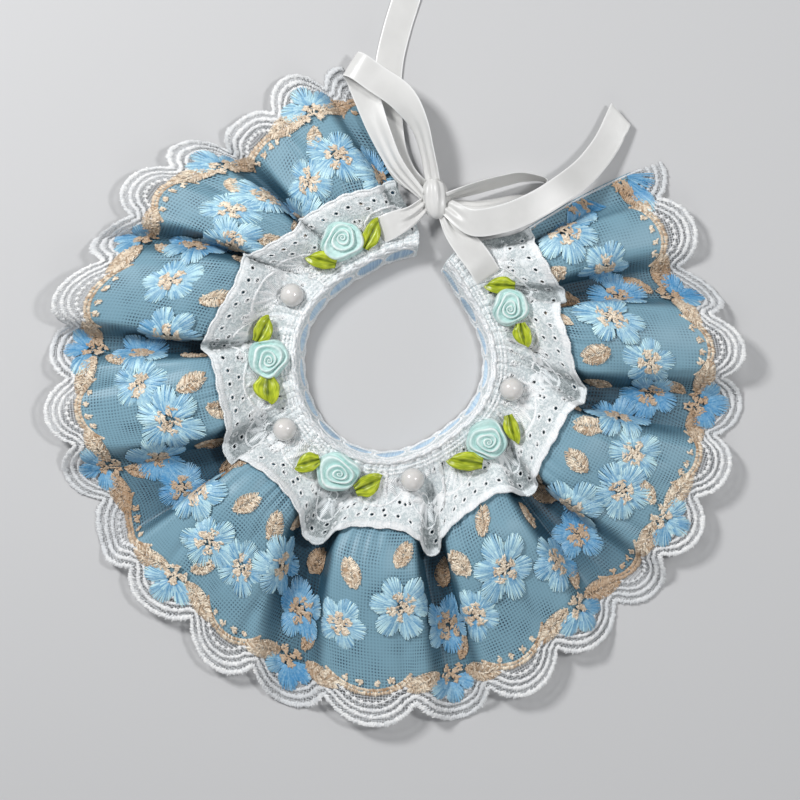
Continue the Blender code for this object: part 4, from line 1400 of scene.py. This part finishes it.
class COLLAR_OT_border(bpy.types.Operator):
    """Lay the white cords and dots along the scallops"""

    bl_idname = "collar.border"
    bl_label = "Scalloped Border"

    def execute(self, context):
        sizes, colours = context.scene.collar_sizes, context.scene.collar_colours
        stitches = Stitches(cut_of("ruffle"), seed=5)
        x = np.arange(FIRST_REPEAT * REPEAT + 0.3, LAST_REPEAT * REPEAT - 0.2, LINE_STEP)
        width = sizes.cord_width / MM
        for inset, share, rise, pitch in BORDER_CORDS:
            line = beside_edge(x, inset)
            stitches.cord(line, width * share, rise, pitch, slant=0.5, tone=(0.3, 1.0), rough=0.34)
            over = {"level": rise * 0.5, "slant": -0.6, "tone": (0.4, 1.0), "rough": 0.45}
            stitches.cord(line, width * share * 0.6, rise=0.35, pitch=pitch * 1.3, **over)
        row = beside_edge(x, DOT_ROW_IN)
        reached = distances(row)
        dots = places_along(row, reached, np.arange(STRIP_MARGIN, reached[-1], DOT_SPACING))
        turn = stitches.random.uniform(0, 1.0, len(dots))
        for third in (0.0, math.pi / 3, 2 * math.pi / 3):
            half = polar(np.full(len(dots), DOT_HALF), turn + third)
            look = {"level": 0.05, "tone": (0.5, 1.0), "round_ends": 0.7}
            stitches.lay(dots - half, dots + half, width=1.0, rise=0.75, **look)
        stitches.cord(row, width * 0.3, rise=0.3, pitch=0.6, tone=(0.3, 0.8))
        down = np.linspace(SCALLOP_DEPTH + 1, HEM_END, HEM_PLACES)
        for end in (FIRST_REPEAT * REPEAT + HEM_IN, LAST_REPEAT * REPEAT - HEM_IN):
            hem = pairs(np.full(HEM_PLACES, end), down)
            stitches.cord(hem, width=1.2, rise=0.35, tone=(0.2, 0.6))
        finish = thread_finish("white_thread", colours.white_shade, colours.white_thread, 0.6)
        cords = stitches.finish("border_cords", finish)
        return {"FINISHED"}


class COLLAR_OT_flowers(bpy.types.Operator):
    """Embroider the blue flowers over the organza"""

    bl_idname = "collar.flowers"
    bl_label = "Flowers"

    def execute(self, context):
        colours = context.scene.collar_colours
        finish = thread_finish("blue_thread", colours.blue_shade, colours.blue_thread, 0.34)
        for name, first, last in FLOWER_PIECES:
            stitches = Stitches(cut_of("ruffle"), seed=11 + first)
            for repeat in range(first, last):
                for along, down, radius, petals, turn, level in FLOWERS:
                    place, turn = (repeat + along) * REPEAT, turn + FLOWER_TURN * repeat
                    embroider_flower(stitches, place, down, radius, petals, turn, level)
                along, *flower = HALF_FLOWER
                place = (repeat + along) * REPEAT
                embroider_flower(stitches, place, *flower, HALF_FLOWER_SPREAD, HALF_FLOWER_FACING)
            stitches.finish(name, finish)
        return {"FINISHED"}


class COLLAR_OT_tan_work(bpy.types.Operator):
    """Embroider the tan cord, leaves and stars"""

    bl_idname = "collar.tan_work"
    bl_label = "Tan Leaves and Stars"

    def execute(self, context):
        sizes, colours = context.scene.collar_sizes, context.scene.collar_colours
        stitches = Stitches(cut_of("ruffle"), seed=23)
        width, (scallop_from, scallop_to) = sizes.tan_width / MM, TAN_SCALLOP
        for repeat in MOTIF_REPEATS:
            x = np.arange((repeat + scallop_from) * REPEAT, (repeat + scallop_to) * REPEAT, LINE_STEP)
            x = x[inside_strip(pairs(x, x))]
            if len(x) > 4:
                outer, inner = rim_line(x, TAN_CORD_IN), rim_line(x, TAN_CORD_IN + 1.3)
                stitches.cord(outer, width, rise=0.65, pitch=0.62, tone=(0.1, 1.0), rough=0.3)
                over = {"level": 0.1, "slant": -0.4, "tone": (0.0, 0.9)}
                stitches.cord(inner, width * 0.75, rise=0.4, pitch=0.7, **over)
            for along, down, heading, length, leaf_width in TAN_LEAVES:
                place, level = (repeat + along) * REPEAT, 0.55 if down < 20 else 0.3
                embroider_leaf(stitches, place, down, heading, length, leaf_width, level)
            for along, down in TAN_STARS:
                reach = stitches.random.uniform(0.1, 1.15, 11)
                spots = polar(reach, stitches.random.uniform(0, 2 * np.pi, 11))
                embroider_knots(stitches, (repeat + along) * REPEAT, down, spots, 1.35, 0.85, 0.3)
            for along, down, radius, _, turn, level in FLOWERS:
                place, turn = (repeat + along) * REPEAT, turn + FLOWER_TURN * repeat + STAR_TURN
                embroider_star(stitches, place, down, radius * STAR_SHARE, level + 0.7, 5, turn)
            along, down, *_, level = HALF_FLOWER
            embroider_star(stitches, (repeat + along) * REPEAT, down + 1.2, 4.4, level + 0.6, 4, STAR_TURN)
        finish = thread_finish("tan_thread", colours.tan_shade, colours.tan_thread, 0.45)
        tan = stitches.finish("tan_work", finish)
        return {"FINISHED"}


class COLLAR_OT_frill(bpy.types.Operator):
    """Cut the eyelet frill with its holes, and embroider it"""

    bl_idname = "collar.frill"
    bl_label = "Eyelet Frill"

    def execute(self, context):
        sizes, colours = context.scene.collar_sizes, context.scene.collar_colours
        cut = cut_of("frill")
        holes = self.eyelets(cut, sizes.eyelet / MM)
        frill = self.cut_cloth(cut, holes, cotton_finish("eyelet_cotton", colours))
        thicken(frill, sizes.cotton)
        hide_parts("eyelet_frill")
        work = self.embroider(cut, holes, colours)
        return {"FINISHED"}

    def fans(self, cut):
        """Where the fans of petals stand along the frill."""
        return np.arange(FAN_REPEAT * 0.5, cut.length, FAN_REPEAT)

    def eyelets(self, cut, radius):
        """Each hole's middle and its two radii, in flat places, so that it's round on the laid cloth."""
        end = cut.length - EYELETS_FROM_END
        spots = [(x, EDGE_EYELETS_IN) for x in np.arange(2.6, end, EDGE_EYELET_SPACING)]
        neck_row = np.arange(3.5, end, NECK_EYELET_SPACING)
        spots += [(x, float(cut.width(x)) - NECK_EYELETS_IN) for x in neck_row]
        arc = fan_arc(FAN_EYELET_RADIUS, np.radians(FAN_EYELET_ANGLES))
        for fan in self.fans(cut):
            spots += [tuple(spot) for spot in cut.motif(fan, FAN_IN, arc)]
            spots.append((fan - FAN_REPEAT / 2, BETWEEN_FANS_IN))
        holes = []
        for x, y in spots:
            if EYELETS_FROM_END < x < end and EYELETS_FROM_EDGE < y < cut.width(x) - EYELETS_FROM_EDGE:
                along, across = cut.stretch(x, y, 2.0)
                holes.append((x, y, radius / along, radius / across))
        return holes

    def cut_cloth(self, cut, holes, finish):
        """A fine net of triangles over the flat strip, with the eyelets left open."""
        tall = FRILL_CUT_TALL
        x, t = np.meshgrid(np.linspace(0, cut.length, int(cut.length)), np.linspace(0, 1, FRILL_ROWS))
        places = pairs(x.ravel(), t.ravel() * tall)
        inner = (places[:, 0] > 0.01) & (places[:, 0] < cut.length - 0.01)
        inner &= (places[:, 1] > 0.01) & (places[:, 1] < tall - 0.01)
        widths = [float(cut.width(hx)) for hx, *_ in holes]
        ovals = [(hx, hy / w * tall, rx, ry / w * tall) for (hx, hy, rx, ry), w in zip(holes, widths)]
        keep = np.ones(len(places), bool)
        for hx, hy, rx, ry in ovals:
            away = np.hypot((places[:, 0] - hx) / (rx + 0.3), (places[:, 1] - hy) / (ry + 0.3))
            keep &= ~(inner & (away < 1))
        points = [Vector((float(px), float(py))) for px, py in places[keep]]
        edges = []
        for hx, hy, rx, ry in ovals:
            start = len(points)
            for k in range(EYELET_CORNERS):
                turn = 2 * math.pi * k / EYELET_CORNERS
                points.append(Vector((hx + rx * math.cos(turn), hy + ry * math.sin(turn))))
                edges.append((start + k, start + (k + 1) % EYELET_CORNERS))
        made = delaunay_2d_cdt(points, edges, [], 0, 1e-5)
        flat = np.array([tuple(p) for p in made[0]])
        faces = np.array([tuple(f) for f in made[2]])
        middle = flat[faces].mean(axis=1)
        opened = np.zeros(len(faces), bool)
        for hx, hy, rx, ry in ovals:
            opened |= np.hypot((middle[:, 0] - hx) / rx, (middle[:, 1] - hy) / ry) < EYELET_OPENING
        faces = faces[~opened]
        used, faces = np.unique(faces, return_inverse=True)
        faces, flat = faces.reshape(-1, 3), flat[used]
        y = flat[:, 1] / tall * cut.width(flat[:, 0])
        # Painted shade, deeper down in the frill's hollows
        depth = ease(cut.hollow(flat[:, 0], y), *COTTON_HOLLOWS)
        points = in_frame(cut.at(flat[:, 0], y))
        frill = new_piece("eyelet_cotton", points, faces, finish, {"depth": depth})
        lay_flat_map(frill, flat[:, 0], y)
        return frill

    def embroider(self, cut, holes, colours):
        """The stitched edge, the rim round each eyelet, the fans of petals, the neck rows and the ground."""
        stitches = Stitches(cut, seed=31)
        x = np.arange(0.6, cut.length - 0.4, 0.42)
        wave = 0.5 * np.abs(np.sin(np.pi * x / EDGE_WAVE))
        inner = 2.2 + 0.6 * np.abs(np.sin(np.pi * x / EDGE_WAVE + 0.4))
        inner = inner + stitches.random.uniform(-0.25, 0.25, len(x))
        bright = (0.55, 1.0)
        starts, ends = pairs(x, 0.1 - wave), pairs(x + 0.15, inner)
        stitches.lay(starts, ends, width=0.56, rise=0.5, level=0.15, steps=3, tone=bright, round_ends=0.7)
        stitches.cord(pairs(x, 0.45 - wave), width=1.0, rise=0.6, level=0.3, tone=bright)
        for hx, hy, rx, ry in holes:
            turn = all_round(12) + stitches.random.uniform(0, 0.5)
            reach = np.array([rx, ry])
            start = (hx, hy) + polar(0.95, turn) * reach
            end = (hx, hy) + polar(2.2, turn + 0.15) * reach
            stitches.lay(start, end, width=0.5, rise=0.5, level=0.16, tone=(0.8, 1.0), round_ends=0.6)
        turn = np.linspace(-FAN_SPREAD, FAN_SPREAD, 30)
        rim, heart = fan_arc(FAN_RIM, turn), fan_arc(FAN_HEART, turn * 1.8)
        for fan in self.fans(cut):
            for angle in FAN_PETAL_ANGLES:
                self.petal(stitches, fan, FAN_IN, angle, 2.0, 7.4, 2.5)
            self.line(stitches, fan, FAN_IN, rim, 0.9)
            self.line(stitches, fan, FAN_IN, heart, 0.8)
            for off, angle in ((-FAN_REPEAT / 2 - 3.0, 28), (-FAN_REPEAT / 2 + 3.0, -28)):
                self.petal(stitches, fan + off, 16.5, angle, 0.0, 8.0, 3.2)
            for off, angle in ((-FAN_REPEAT / 2, 0), (-4.5, 30), (4.5, -30)):
                self.petal(stitches, fan + off, float(cut.width(fan + off)) - 5.0, angle, 0.0, 4.4, 2.2)
        for inset, width in ((0.8, 1.1), (2.3, 0.7), (3.7, 0.9)):
            line = pairs(x, cut.width(x) - inset + 0.12 * np.sin(x * 2.1 + inset))
            stitches.cord(line, width, rise=0.4, pitch=0.9, level=0.12, slant=0.6, tone=(0.4, 1.0))
        self.scatter(stitches)
        finish = thread_finish("cotton_thread", colours.cotton_thread_shade, colours.cotton_thread, 0.65)
        return stitches.finish("eyelet_work", finish)

    def scatter(self, stitches):
        """Fine running stitches over the ground between the motifs."""
        random, cut = stitches.random, stitches.cut
        x = random.uniform(1.5, cut.length - 1.5, GROUND_STITCHES)
        y = 2.8 + (cut.width(x) - 6.5) * random.uniform(0, 1, len(x)) ** 0.8
        turn = random.uniform(0, np.pi, len(x))
        half, middle = polar(random.uniform(0.35, 0.75, len(x)), turn), pairs(x, y)
        look = {"level": 0.16, "steps": 1, "tone": (0.3, 1.0), "round_ends": 0.3}
        stitches.lay(middle - half, middle + half, width=0.42, rise=0.22, **look)

    def line(self, stitches, x, y, offsets, width):
        """A cord along offsets round a motif's middle, where they lie well inside the cut."""
        cut = stitches.cut
        flat = cut.motif(x, y, offsets)
        flat = flat[(flat[:, 0] > 1) & (flat[:, 0] < cut.length - 1) & (flat[:, 1] < cut.width(x) - 1)]
        if len(flat) > 6:
            stitches.cord(flat, width * 1.2, rise=0.5, pitch=0.55, level=0.2, tone=(0.7, 1.0), rough=0.3)

    def petal(self, stitches, x, y, angle, off, length, width):
        """A small satin petal that points towards the frill's edge, turned from it by an angle."""
        turn = math.radians(angle)
        forward = np.array([math.sin(turn), -math.cos(turn)])
        side = np.array([math.cos(turn), math.sin(turn)])
        along = np.linspace(0.04, 0.96, int(length / 0.52))
        half = (np.sin(np.pi * along ** 0.8) ** 0.8 * width / 2)[:, None] * side
        middle = (off + along[:, None] * length) * forward
        flat = stitches.cut.motif(x, y, np.stack([middle - half, middle + half + 0.25 * forward]))
        keep = (flat[..., 0] > 1).all(axis=0) & (flat[..., 0] < stitches.cut.length - 1).all(axis=0)
        look = {"level": 0.2, "tone": (0.7, 1.0), "round_ends": 0.6}
        stitches.lay(flat[0][keep], flat[1][keep], width=0.58, rise=0.55, **look)


class COLLAR_OT_band(bpy.types.Operator):
    """Sew the neck band with its pale blue ovals"""

    bl_idname = "collar.band"
    bl_label = "Neck Band"

    def execute(self, context):
        sizes, colours = context.scene.collar_sizes, context.scene.collar_colours
        cut = cut_of("band")
        columns, rows = BAND_GRID
        x = np.linspace(0, cut.length, columns)
        y = cut.lower_edge(x)[None] * np.linspace(0, 1, rows)[:, None]
        flat_x = np.broadcast_to(x, y.shape)
        finish = cotton_finish("band_cotton", colours)
        points = in_frame(cut.at(flat_x, y, 0.0).reshape(-1, 3))
        band = new_piece("band_cloth", points, grid_faces(*y.shape), finish, {"depth": np.zeros(y.size)})
        lay_flat_map(band, flat_x, y)
        thicken(band, sizes.cotton)
        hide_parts("neck_band")
        white, blue = Stitches(cut, seed=41), Stitches(cut, seed=43)
        spacing = cut.length / round(cut.length / OVAL_SPACING)
        along, turn = np.linspace(-0.97, 0.97, 24), np.linspace(0, 2 * np.pi, 44)
        for middle in np.arange(spacing / 2, cut.length, spacing):
            middle += white.random.uniform(-0.5, 0.5)
            shown = OVAL_LEAST + (1 - OVAL_LEAST) * math.exp(-((middle / OVAL_FULL_REACH) ** 4))
            shown += OVAL_UNEVEN * math.sin(middle * 0.31 + 1.0)
            centre = cut.down[1] + OVAL_DOWN + OVAL_SINK * (1 - shown)
            line, half = centre + 0.4 * along, np.sqrt(1 - along ** 2) * OVAL_HALF_TALL * shown
            start = pairs(middle + along * OVAL_HALF_WIDE - 0.35, line - half)
            end = pairs(middle + along * OVAL_HALF_WIDE + 0.35, line + half)
            tone = (0.1 + 0.6 * (1 - shown), 1.0)
            blue.lay(start, end, width=0.66, rise=0.45, level=0.15, steps=4, tone=tone)
            tall = RING_MARGIN + OVAL_HALF_TALL * shown
            ring = pairs(middle + RING_HALF_WIDE * np.cos(turn), centre + tall * np.sin(turn))
            white.cord(ring, width=0.95, rise=0.5, level=0.15, tone=(0.4, 1.0))
        x = np.arange(0.3, cut.length - 0.2, LINE_STEP)
        edge = pairs(x, cut.lower_edge(x) - 0.4)
        white.cord(edge, width=1.3, rise=0.55, level=0.12, tone=(0.4, 1.0))
        wave = 0.35 * np.sin(x * 2 * np.pi / 6.7) + 0.2 * np.sin(x * 1.9)
        for inset, width, rise in ((0.55, 1.7, 0.8), (1.9, 1.1, 0.55)):
            line = pairs(x, inset + wave)
            white.cord(line, width, rise, level=0.15, slant=0.4, tone=(0.45, 1.0))
        thread = thread_finish("band_thread", colours.band_thread_shade, colours.band_thread, 0.65)
        white.finish("band_cords", thread)
        blue.finish("band_ovals", thread_finish("band_blue", colours.band_shade, colours.band_blue, 0.5))
        return {"FINISHED"}


class COLLAR_OT_roses(bpy.types.Operator):
    """Wind the ribbon roses and fold their satin leaves"""

    bl_idname = "collar.roses"
    bl_label = "Roses and Leaves"

    def execute(self, context):
        sizes, colours = context.scene.collar_sizes, context.scene.collar_colours
        satin = satin_finish("rose_satin", colours.rose, colours.rose_shade, colours.rose_rim_painted_highlight, 0.42, 0.35)
        green = satin_finish("leaf_satin", colours.leaf, colours.leaf_shade, colours.leaf_fold_painted_shade, 0.32, 0.75)
        for name, (length, width, turn) in ROSE_SIZES.items():
            low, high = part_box(name)
            rose = self.wind(f"{name}_ribbon", low, high, length, width, turn, satin, ROSE_TURNS[name])
            thicken(rose, sizes.ribbon * 1.2)
            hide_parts(name)
        for name, (heading, length, width, fold) in LEAVES.items():
            low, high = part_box(name)
            leaf = self.fold(f"{name}_satin", low, high, heading, length, width, fold, green)
            thicken(leaf, sizes.ribbon * 1.4)
            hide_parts(name)
        return {"FINISHED"}

    def wind(self, name, low, high, length, width, turn, finish, first):
        """A ribbon wound outwards from the middle, each turn rolled at its rim and lower than the last."""
        around, out = np.meshgrid(all_round(84), np.linspace(0.02, 1.06, 72))
        start = around + math.radians(first)
        out_share = np.minimum(out, 1.0)
        uneven = 0.24 * np.sin(2 * start + 0.6 + out_share * 2)
        uneven = uneven + 0.18 * np.sin(3 * start + 2.1 - out_share * 3)
        turns = ROSE_WINDS * out_share ** 0.52 - around / (2 * np.pi) + uneven * smooth(out_share * 1.4)
        place = turns % 1.0
        deep = 0.10 + 0.24 * out_share
        rolled = np.where(place < 0.8, smooth(place / 0.8), 1 - smooth((place - 0.86) / 0.14)) * deep
        dome = 0.76 * np.sqrt(1 - 0.62 * out_share ** 3) + 0.04
        crimped = 0.014 * np.sin(17 * start + 3 * turns) * out_share
        rise = (dome - deep + rolled + crimped) * (1 - smooth((out - 0.93) / 0.12))
        corners = 1 + 0.05 * np.cos(3 * start + 0.4) * out_share ** 2
        corners = corners + 0.035 * np.cos(5 * start + 2) * out_share ** 2
        reach = out_share * corners * 0.95
        x = (reach * np.cos(around) + 0.16 * (1 - out_share) * math.cos(first)) * length / 2
        y = (reach * np.sin(around) + 0.16 * (1 - out_share) * math.sin(first)) * width / 2
        points = on_solid(x, y, rise * (high.z - low.z) / MM, turn, low, high)
        # Painted highlight along each turn's rolled rim, stronger on some sides, carried as the rim number
        rim = np.exp(-(((place - 0.8) / 0.11) ** 2)) * (0.35 + 0.65 * np.cos(start + 0.9 * turns) ** 2)
        piece = new_piece(name, points, grid_faces(*around.shape, closed=True), finish, {"rim": rim.ravel()})
        lay_flat_map(piece, around * 4, out * 6)
        return piece

    def fold(self, name, low, high, heading, length, width, fold, finish):
        """A leaf of folded ribbon: pinched at its foot, creased down its middle, blunt and turned down at its
        end."""
        along, across = np.meshgrid(np.linspace(0, 1, 24), np.linspace(-1, 1, 21), indexing="ij")
        blunt = np.sqrt(1 - 0.93 * (np.maximum(along - 0.35, 0) / 0.65) ** 2.4)
        half = (0.55 + 0.45 * smooth(along / 0.4)) * blunt * width / 2
        crease = np.exp(-((across / 0.2) ** 2))
        ripple = np.sin(along * 17 + across * 3) * 0.06 + np.sin(along * 8 - across * 5) * 0.09
        z = 0.45 + 0.8 * (1 - crease) + 0.35 * np.sin(np.pi * along) - 0.5 * smooth((along - 0.75) / 0.25)
        z = z - 0.35 * np.abs(across) ** 3 + fold * 0.5 * smooth((across - 0.2) / 0.8) * np.sin(np.pi * along)
        pleats = 0.2 * np.sin(across * 8.5 + heading) * (1 - smooth(along / 0.55))
        z = z + ripple * (0.4 + 0.6 * np.abs(across)) + pleats
        x = (along - 0.5) * length + 0.11 * length * across * smooth(along / 0.9)
        y = across * half * (1 - 0.18 * fold * (across > 0))
        points = on_solid(x, y, np.clip(z, 0.15, 2.1), heading, low, high)
        # Painted shade, carried as the rim number: in the middle crease, in the troughs of the ripples and
        # pleats, and on one side
        hollow = np.maximum(-ripple, 0) + np.maximum(-pleats, 0)
        shade = crease * (1.1 - 0.7 * along) + 2.6 * hollow + 0.3 * (across > 0.25) * (1 - fold)
        rim = {"rim": np.clip(shade, 0, 1).ravel()}
        piece = new_piece(name, points, grid_faces(*along.shape), finish, rim)
        lay_flat_map(piece, along * length, across * width / 2)
        return piece


class COLLAR_OT_pearls(bpy.types.Operator):
    """Set the half-round pearls"""

    bl_idname = "collar.pearls"
    bl_label = "Pearls"

    def execute(self, context):
        finish = pearl_finish(context.scene.collar_colours)
        for index in range(1, 5):
            low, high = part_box(f"pearl_{index}")
            pearl = self.dome(f"pearl_{index}_dome", low, high, finish)
            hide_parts(f"pearl_{index}")
        return {"FINISHED"}

    def dome(self, name, low, high, finish):
        """A half ball with a small rounded foot and a closed top."""
        centre, radius = (low + high) / 2, (high.x - low.x) / 2
        turn, climb = np.meshgrid(all_round(PEARL_SIDES), np.linspace(-0.2, np.pi / 2 - 0.03, PEARL_RINGS))
        reach = radius * np.cos(np.maximum(climb, 0)) * (1 + 0.25 * np.minimum(climb, 0))
        height = low.z + (high.z - low.z) * np.maximum(np.sin(climb), 0)
        ring = np.stack([centre.x + reach * np.cos(turn), centre.y + reach * np.sin(turn), height], axis=-1)
        # Painted shade, darker towards the pearl's foot
        foot = {"foot": (np.clip(1 - np.sin(climb), 0, 1) ** 2.5).ravel()}
        pearl = new_piece(name, ring.reshape(-1, 3), grid_faces(*turn.shape, closed=True), finish, foot)
        work = bmesh.new()
        work.from_mesh(pearl.data)
        work.verts.ensure_lookup_table()
        bottom, top = work.verts[:PEARL_SIDES], work.verts[-PEARL_SIDES:]
        work.faces.new(top).smooth = True
        work.faces.new(bottom[::-1])
        work.to_mesh(pearl.data)
        work.free()
        return pearl


def knot_end(name):
    """A ribbon's first row, tucked a little into the knot's pleats."""
    direction, over_middle, off, *width = KNOT_ENDS[name]
    long_x, long_y, long_z = (side / 2 for side in KNOT_SIZE)
    shrink = math.sqrt(1 - (over_middle / long_z) ** 2)
    turn = math.radians(direction - KNOT_TURN)
    reach = shrink / math.hypot(math.cos(turn) / long_x, math.sin(turn) / long_y) + off - KNOT_TUCK
    x = KNOT_AT[0] + reach * math.cos(math.radians(direction))
    y = KNOT_AT[1] + reach * math.sin(math.radians(direction))
    return (x, y, KNOT_AT[2] + over_middle, *width)


class COLLAR_OT_bow(bpy.types.Operator):
    """Tie the satin ribbons in a bow"""

    bl_idname = "collar.bow"
    bl_label = "Ties and Bow"

    def execute(self, context):
        sizes, colours = context.scene.collar_sizes, context.scene.collar_colours
        satin = satin_finish("satin", colours.satin, colours.satin_shade, colours.satin_edge_painted_highlight, 0.27)
        routes = {
            "tie_left": (knot_end("tie_left"), *TIE_LEFT),
            "tie_right": (knot_end("tie_right"), *TIE_RIGHT),
            "bow_loop_left": (knot_end("loop_left_out"), *LOOP_LEFT, knot_end("loop_left_back")),
            "bow_loop_right": (knot_end("loop_right_out"), *LOOP_RIGHT, knot_end("loop_right_back")),
            "bow_tail_up": (knot_end("tail_up"), *TAIL_UP),
            "bow_tail_right": (knot_end("tail_right"), *TAIL_RIGHT),
        }
        for name, rows in routes.items():
            ribbon, length = self.ribbon(f"{name}_satin", rows, satin, TAIL_SLANT.get(name, 0.0))
            thicken(ribbon, sizes.ribbon)
            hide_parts(name)
        knot = self.knot(satin)
        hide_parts("bow_knot")
        return {"FINISHED"}

    def ribbon(self, name, rows, finish, slant):
        """A satin ribbon along its route, a little cupped, and creased where the knot pinches it."""
        rows = np.array(rows, float)
        reached = distances(rows[:, :3])
        at = np.linspace(0, reached[-1], round(reached[-1] / 0.9) + 1)
        table = np.column_stack([reached, rows])
        x, y, z, heading, rise, width = (through(table, at, column) for column in range(1, 7))
        heading, rise = np.radians(heading), np.radians(rise)
        level = np.cos(rise)
        across = np.stack([np.cos(heading) * level, np.sin(heading) * level, np.sin(rise)], axis=-1)
        middle = np.stack([x, y, z], axis=-1)
        along = np.gradient(middle, axis=0)
        along /= np.linalg.norm(along, axis=1, keepdims=True)
        normal = np.cross(across, along)
        normal /= np.linalg.norm(normal, axis=1, keepdims=True)
        sides = np.linspace(-1, 1, 17)
        pinch = (1 - smooth((width - 5.0) / 4.8))[:, None]
        fold = 0.75 * pinch * np.sin(sides * 2.2 * np.pi + 0.7)[None] * (1 - 0.4 * np.abs(sides))[None]
        cup = 0.12 * (1 - pinch) * (sides ** 2)[None] + 0.1 * np.sin(at * 0.21)[:, None] * sides[None]
        ease_off = slant * sides[None] * smooth((at - at[-1] + 12) / 12)[:, None] / 2
        points = middle[:, None] + across[:, None] * (sides[None] * width[:, None] / 2)[..., None]
        points = points + normal[:, None] * (fold - cup)[..., None] + along[:, None] * ease_off[..., None]
        points[..., 2] = np.maximum(points[..., 2], 0.25)
        # Painted highlight on the ribbon's woven edges, carried as the rim number
        selvage_highlight = np.broadcast_to(smooth((np.abs(sides) - 0.86) / 0.08)[None], fold.shape)
        points = in_frame(points.reshape(-1, 3))
        piece = new_piece(name, points, grid_faces(*fold.shape), finish, {"rim": selvage_highlight.ravel()})
        flat = np.broadcast_arrays(at[:, None], sides[None] * RIBBON_WIDE / MM / 2)
        lay_flat_map(piece, *flat)
        return piece, reached[-1]

    def knot(self, finish):
        """The ribbon drawn round the middle of the bow, with the pleats that the pull gives it."""
        climb = np.linspace(-np.pi / 2 + 0.03, np.pi / 2 - 0.03, KNOT_RINGS)
        turn, climb = np.meshgrid(all_round(KNOT_SIDES), climb)
        y = np.sign(np.sin(climb)) * np.abs(np.sin(climb)) ** 0.8
        pleats = 0.05 * np.cos(turn * 8 + 1.6 * y + 0.4) + 0.035 * np.cos(turn * 5 - 1.1 * y)
        bulge = (1 + pleats * (0.4 + np.cos(climb))) * 0.96 * np.cos(climb) ** 0.85
        x, z = np.cos(turn) * bulge, np.sin(turn) * bulge
        x, y = swung(x * KNOT_SIZE[0] / 2, y * KNOT_SIZE[1] / 2, KNOT_TURN)
        points = np.stack([x, y, z * KNOT_SIZE[2] / 2], axis=-1) + KNOT_AT
        faces, rim = grid_faces(*turn.shape, closed=True), {"rim": np.zeros(turn.size)}
        piece = new_piece("bow_knot_satin", in_frame(points.reshape(-1, 3)), faces, finish, rim)
        i, j = np.indices(turn.shape)
        lay_flat_map(piece, j * 0.3, i * 0.3)
        return piece


class COLLAR_PT_sidebar(bpy.types.Panel):
    """The collar's sizes and colours, and a button for each step"""

    bl_idname = "COLLAR_PT_sidebar"
    bl_label = "Lace Pet Collar"
    bl_space_type = "VIEW_3D"
    bl_region_type = "UI"
    bl_category = "Collar"

    def draw(self, context):
        for group in (context.scene.collar_sizes, context.scene.collar_colours):
            box = self.layout.box()
            for name in group.__annotations__:
                box.prop(group, name)
        for step in STEPS:
            self.layout.operator(step.bl_idname)


STEPS = (
    COLLAR_OT_stage,
    COLLAR_OT_ruffle,
    COLLAR_OT_border,
    COLLAR_OT_flowers,
    COLLAR_OT_tan_work,
    COLLAR_OT_frill,
    COLLAR_OT_band,
    COLLAR_OT_roses,
    COLLAR_OT_pearls,
    COLLAR_OT_bow,
)
CLASSES = (CollarSizes, CollarColours, *STEPS, COLLAR_PT_sidebar)


def register():
    for cls in CLASSES:
        bpy.utils.register_class(cls)
    bpy.types.Scene.collar_sizes = bpy.props.PointerProperty(type=CollarSizes)
    bpy.types.Scene.collar_colours = bpy.props.PointerProperty(type=CollarColours)


def unregister():
    del bpy.types.Scene.collar_colours
    del bpy.types.Scene.collar_sizes
    for cls in reversed(CLASSES):
        bpy.utils.unregister_class(cls)


def main():
    register()
    bpy.ops.collar.stage()
    bpy.ops.collar.ruffle()
    bpy.ops.collar.border()
    bpy.ops.collar.flowers()
    bpy.ops.collar.tan_work()
    bpy.ops.collar.frill()
    bpy.ops.collar.band()
    bpy.ops.collar.roses()
    bpy.ops.collar.pearls()
    bpy.ops.collar.bow()
    bpy.context.view_layer.update()


if __name__ == "__main__":
    main()
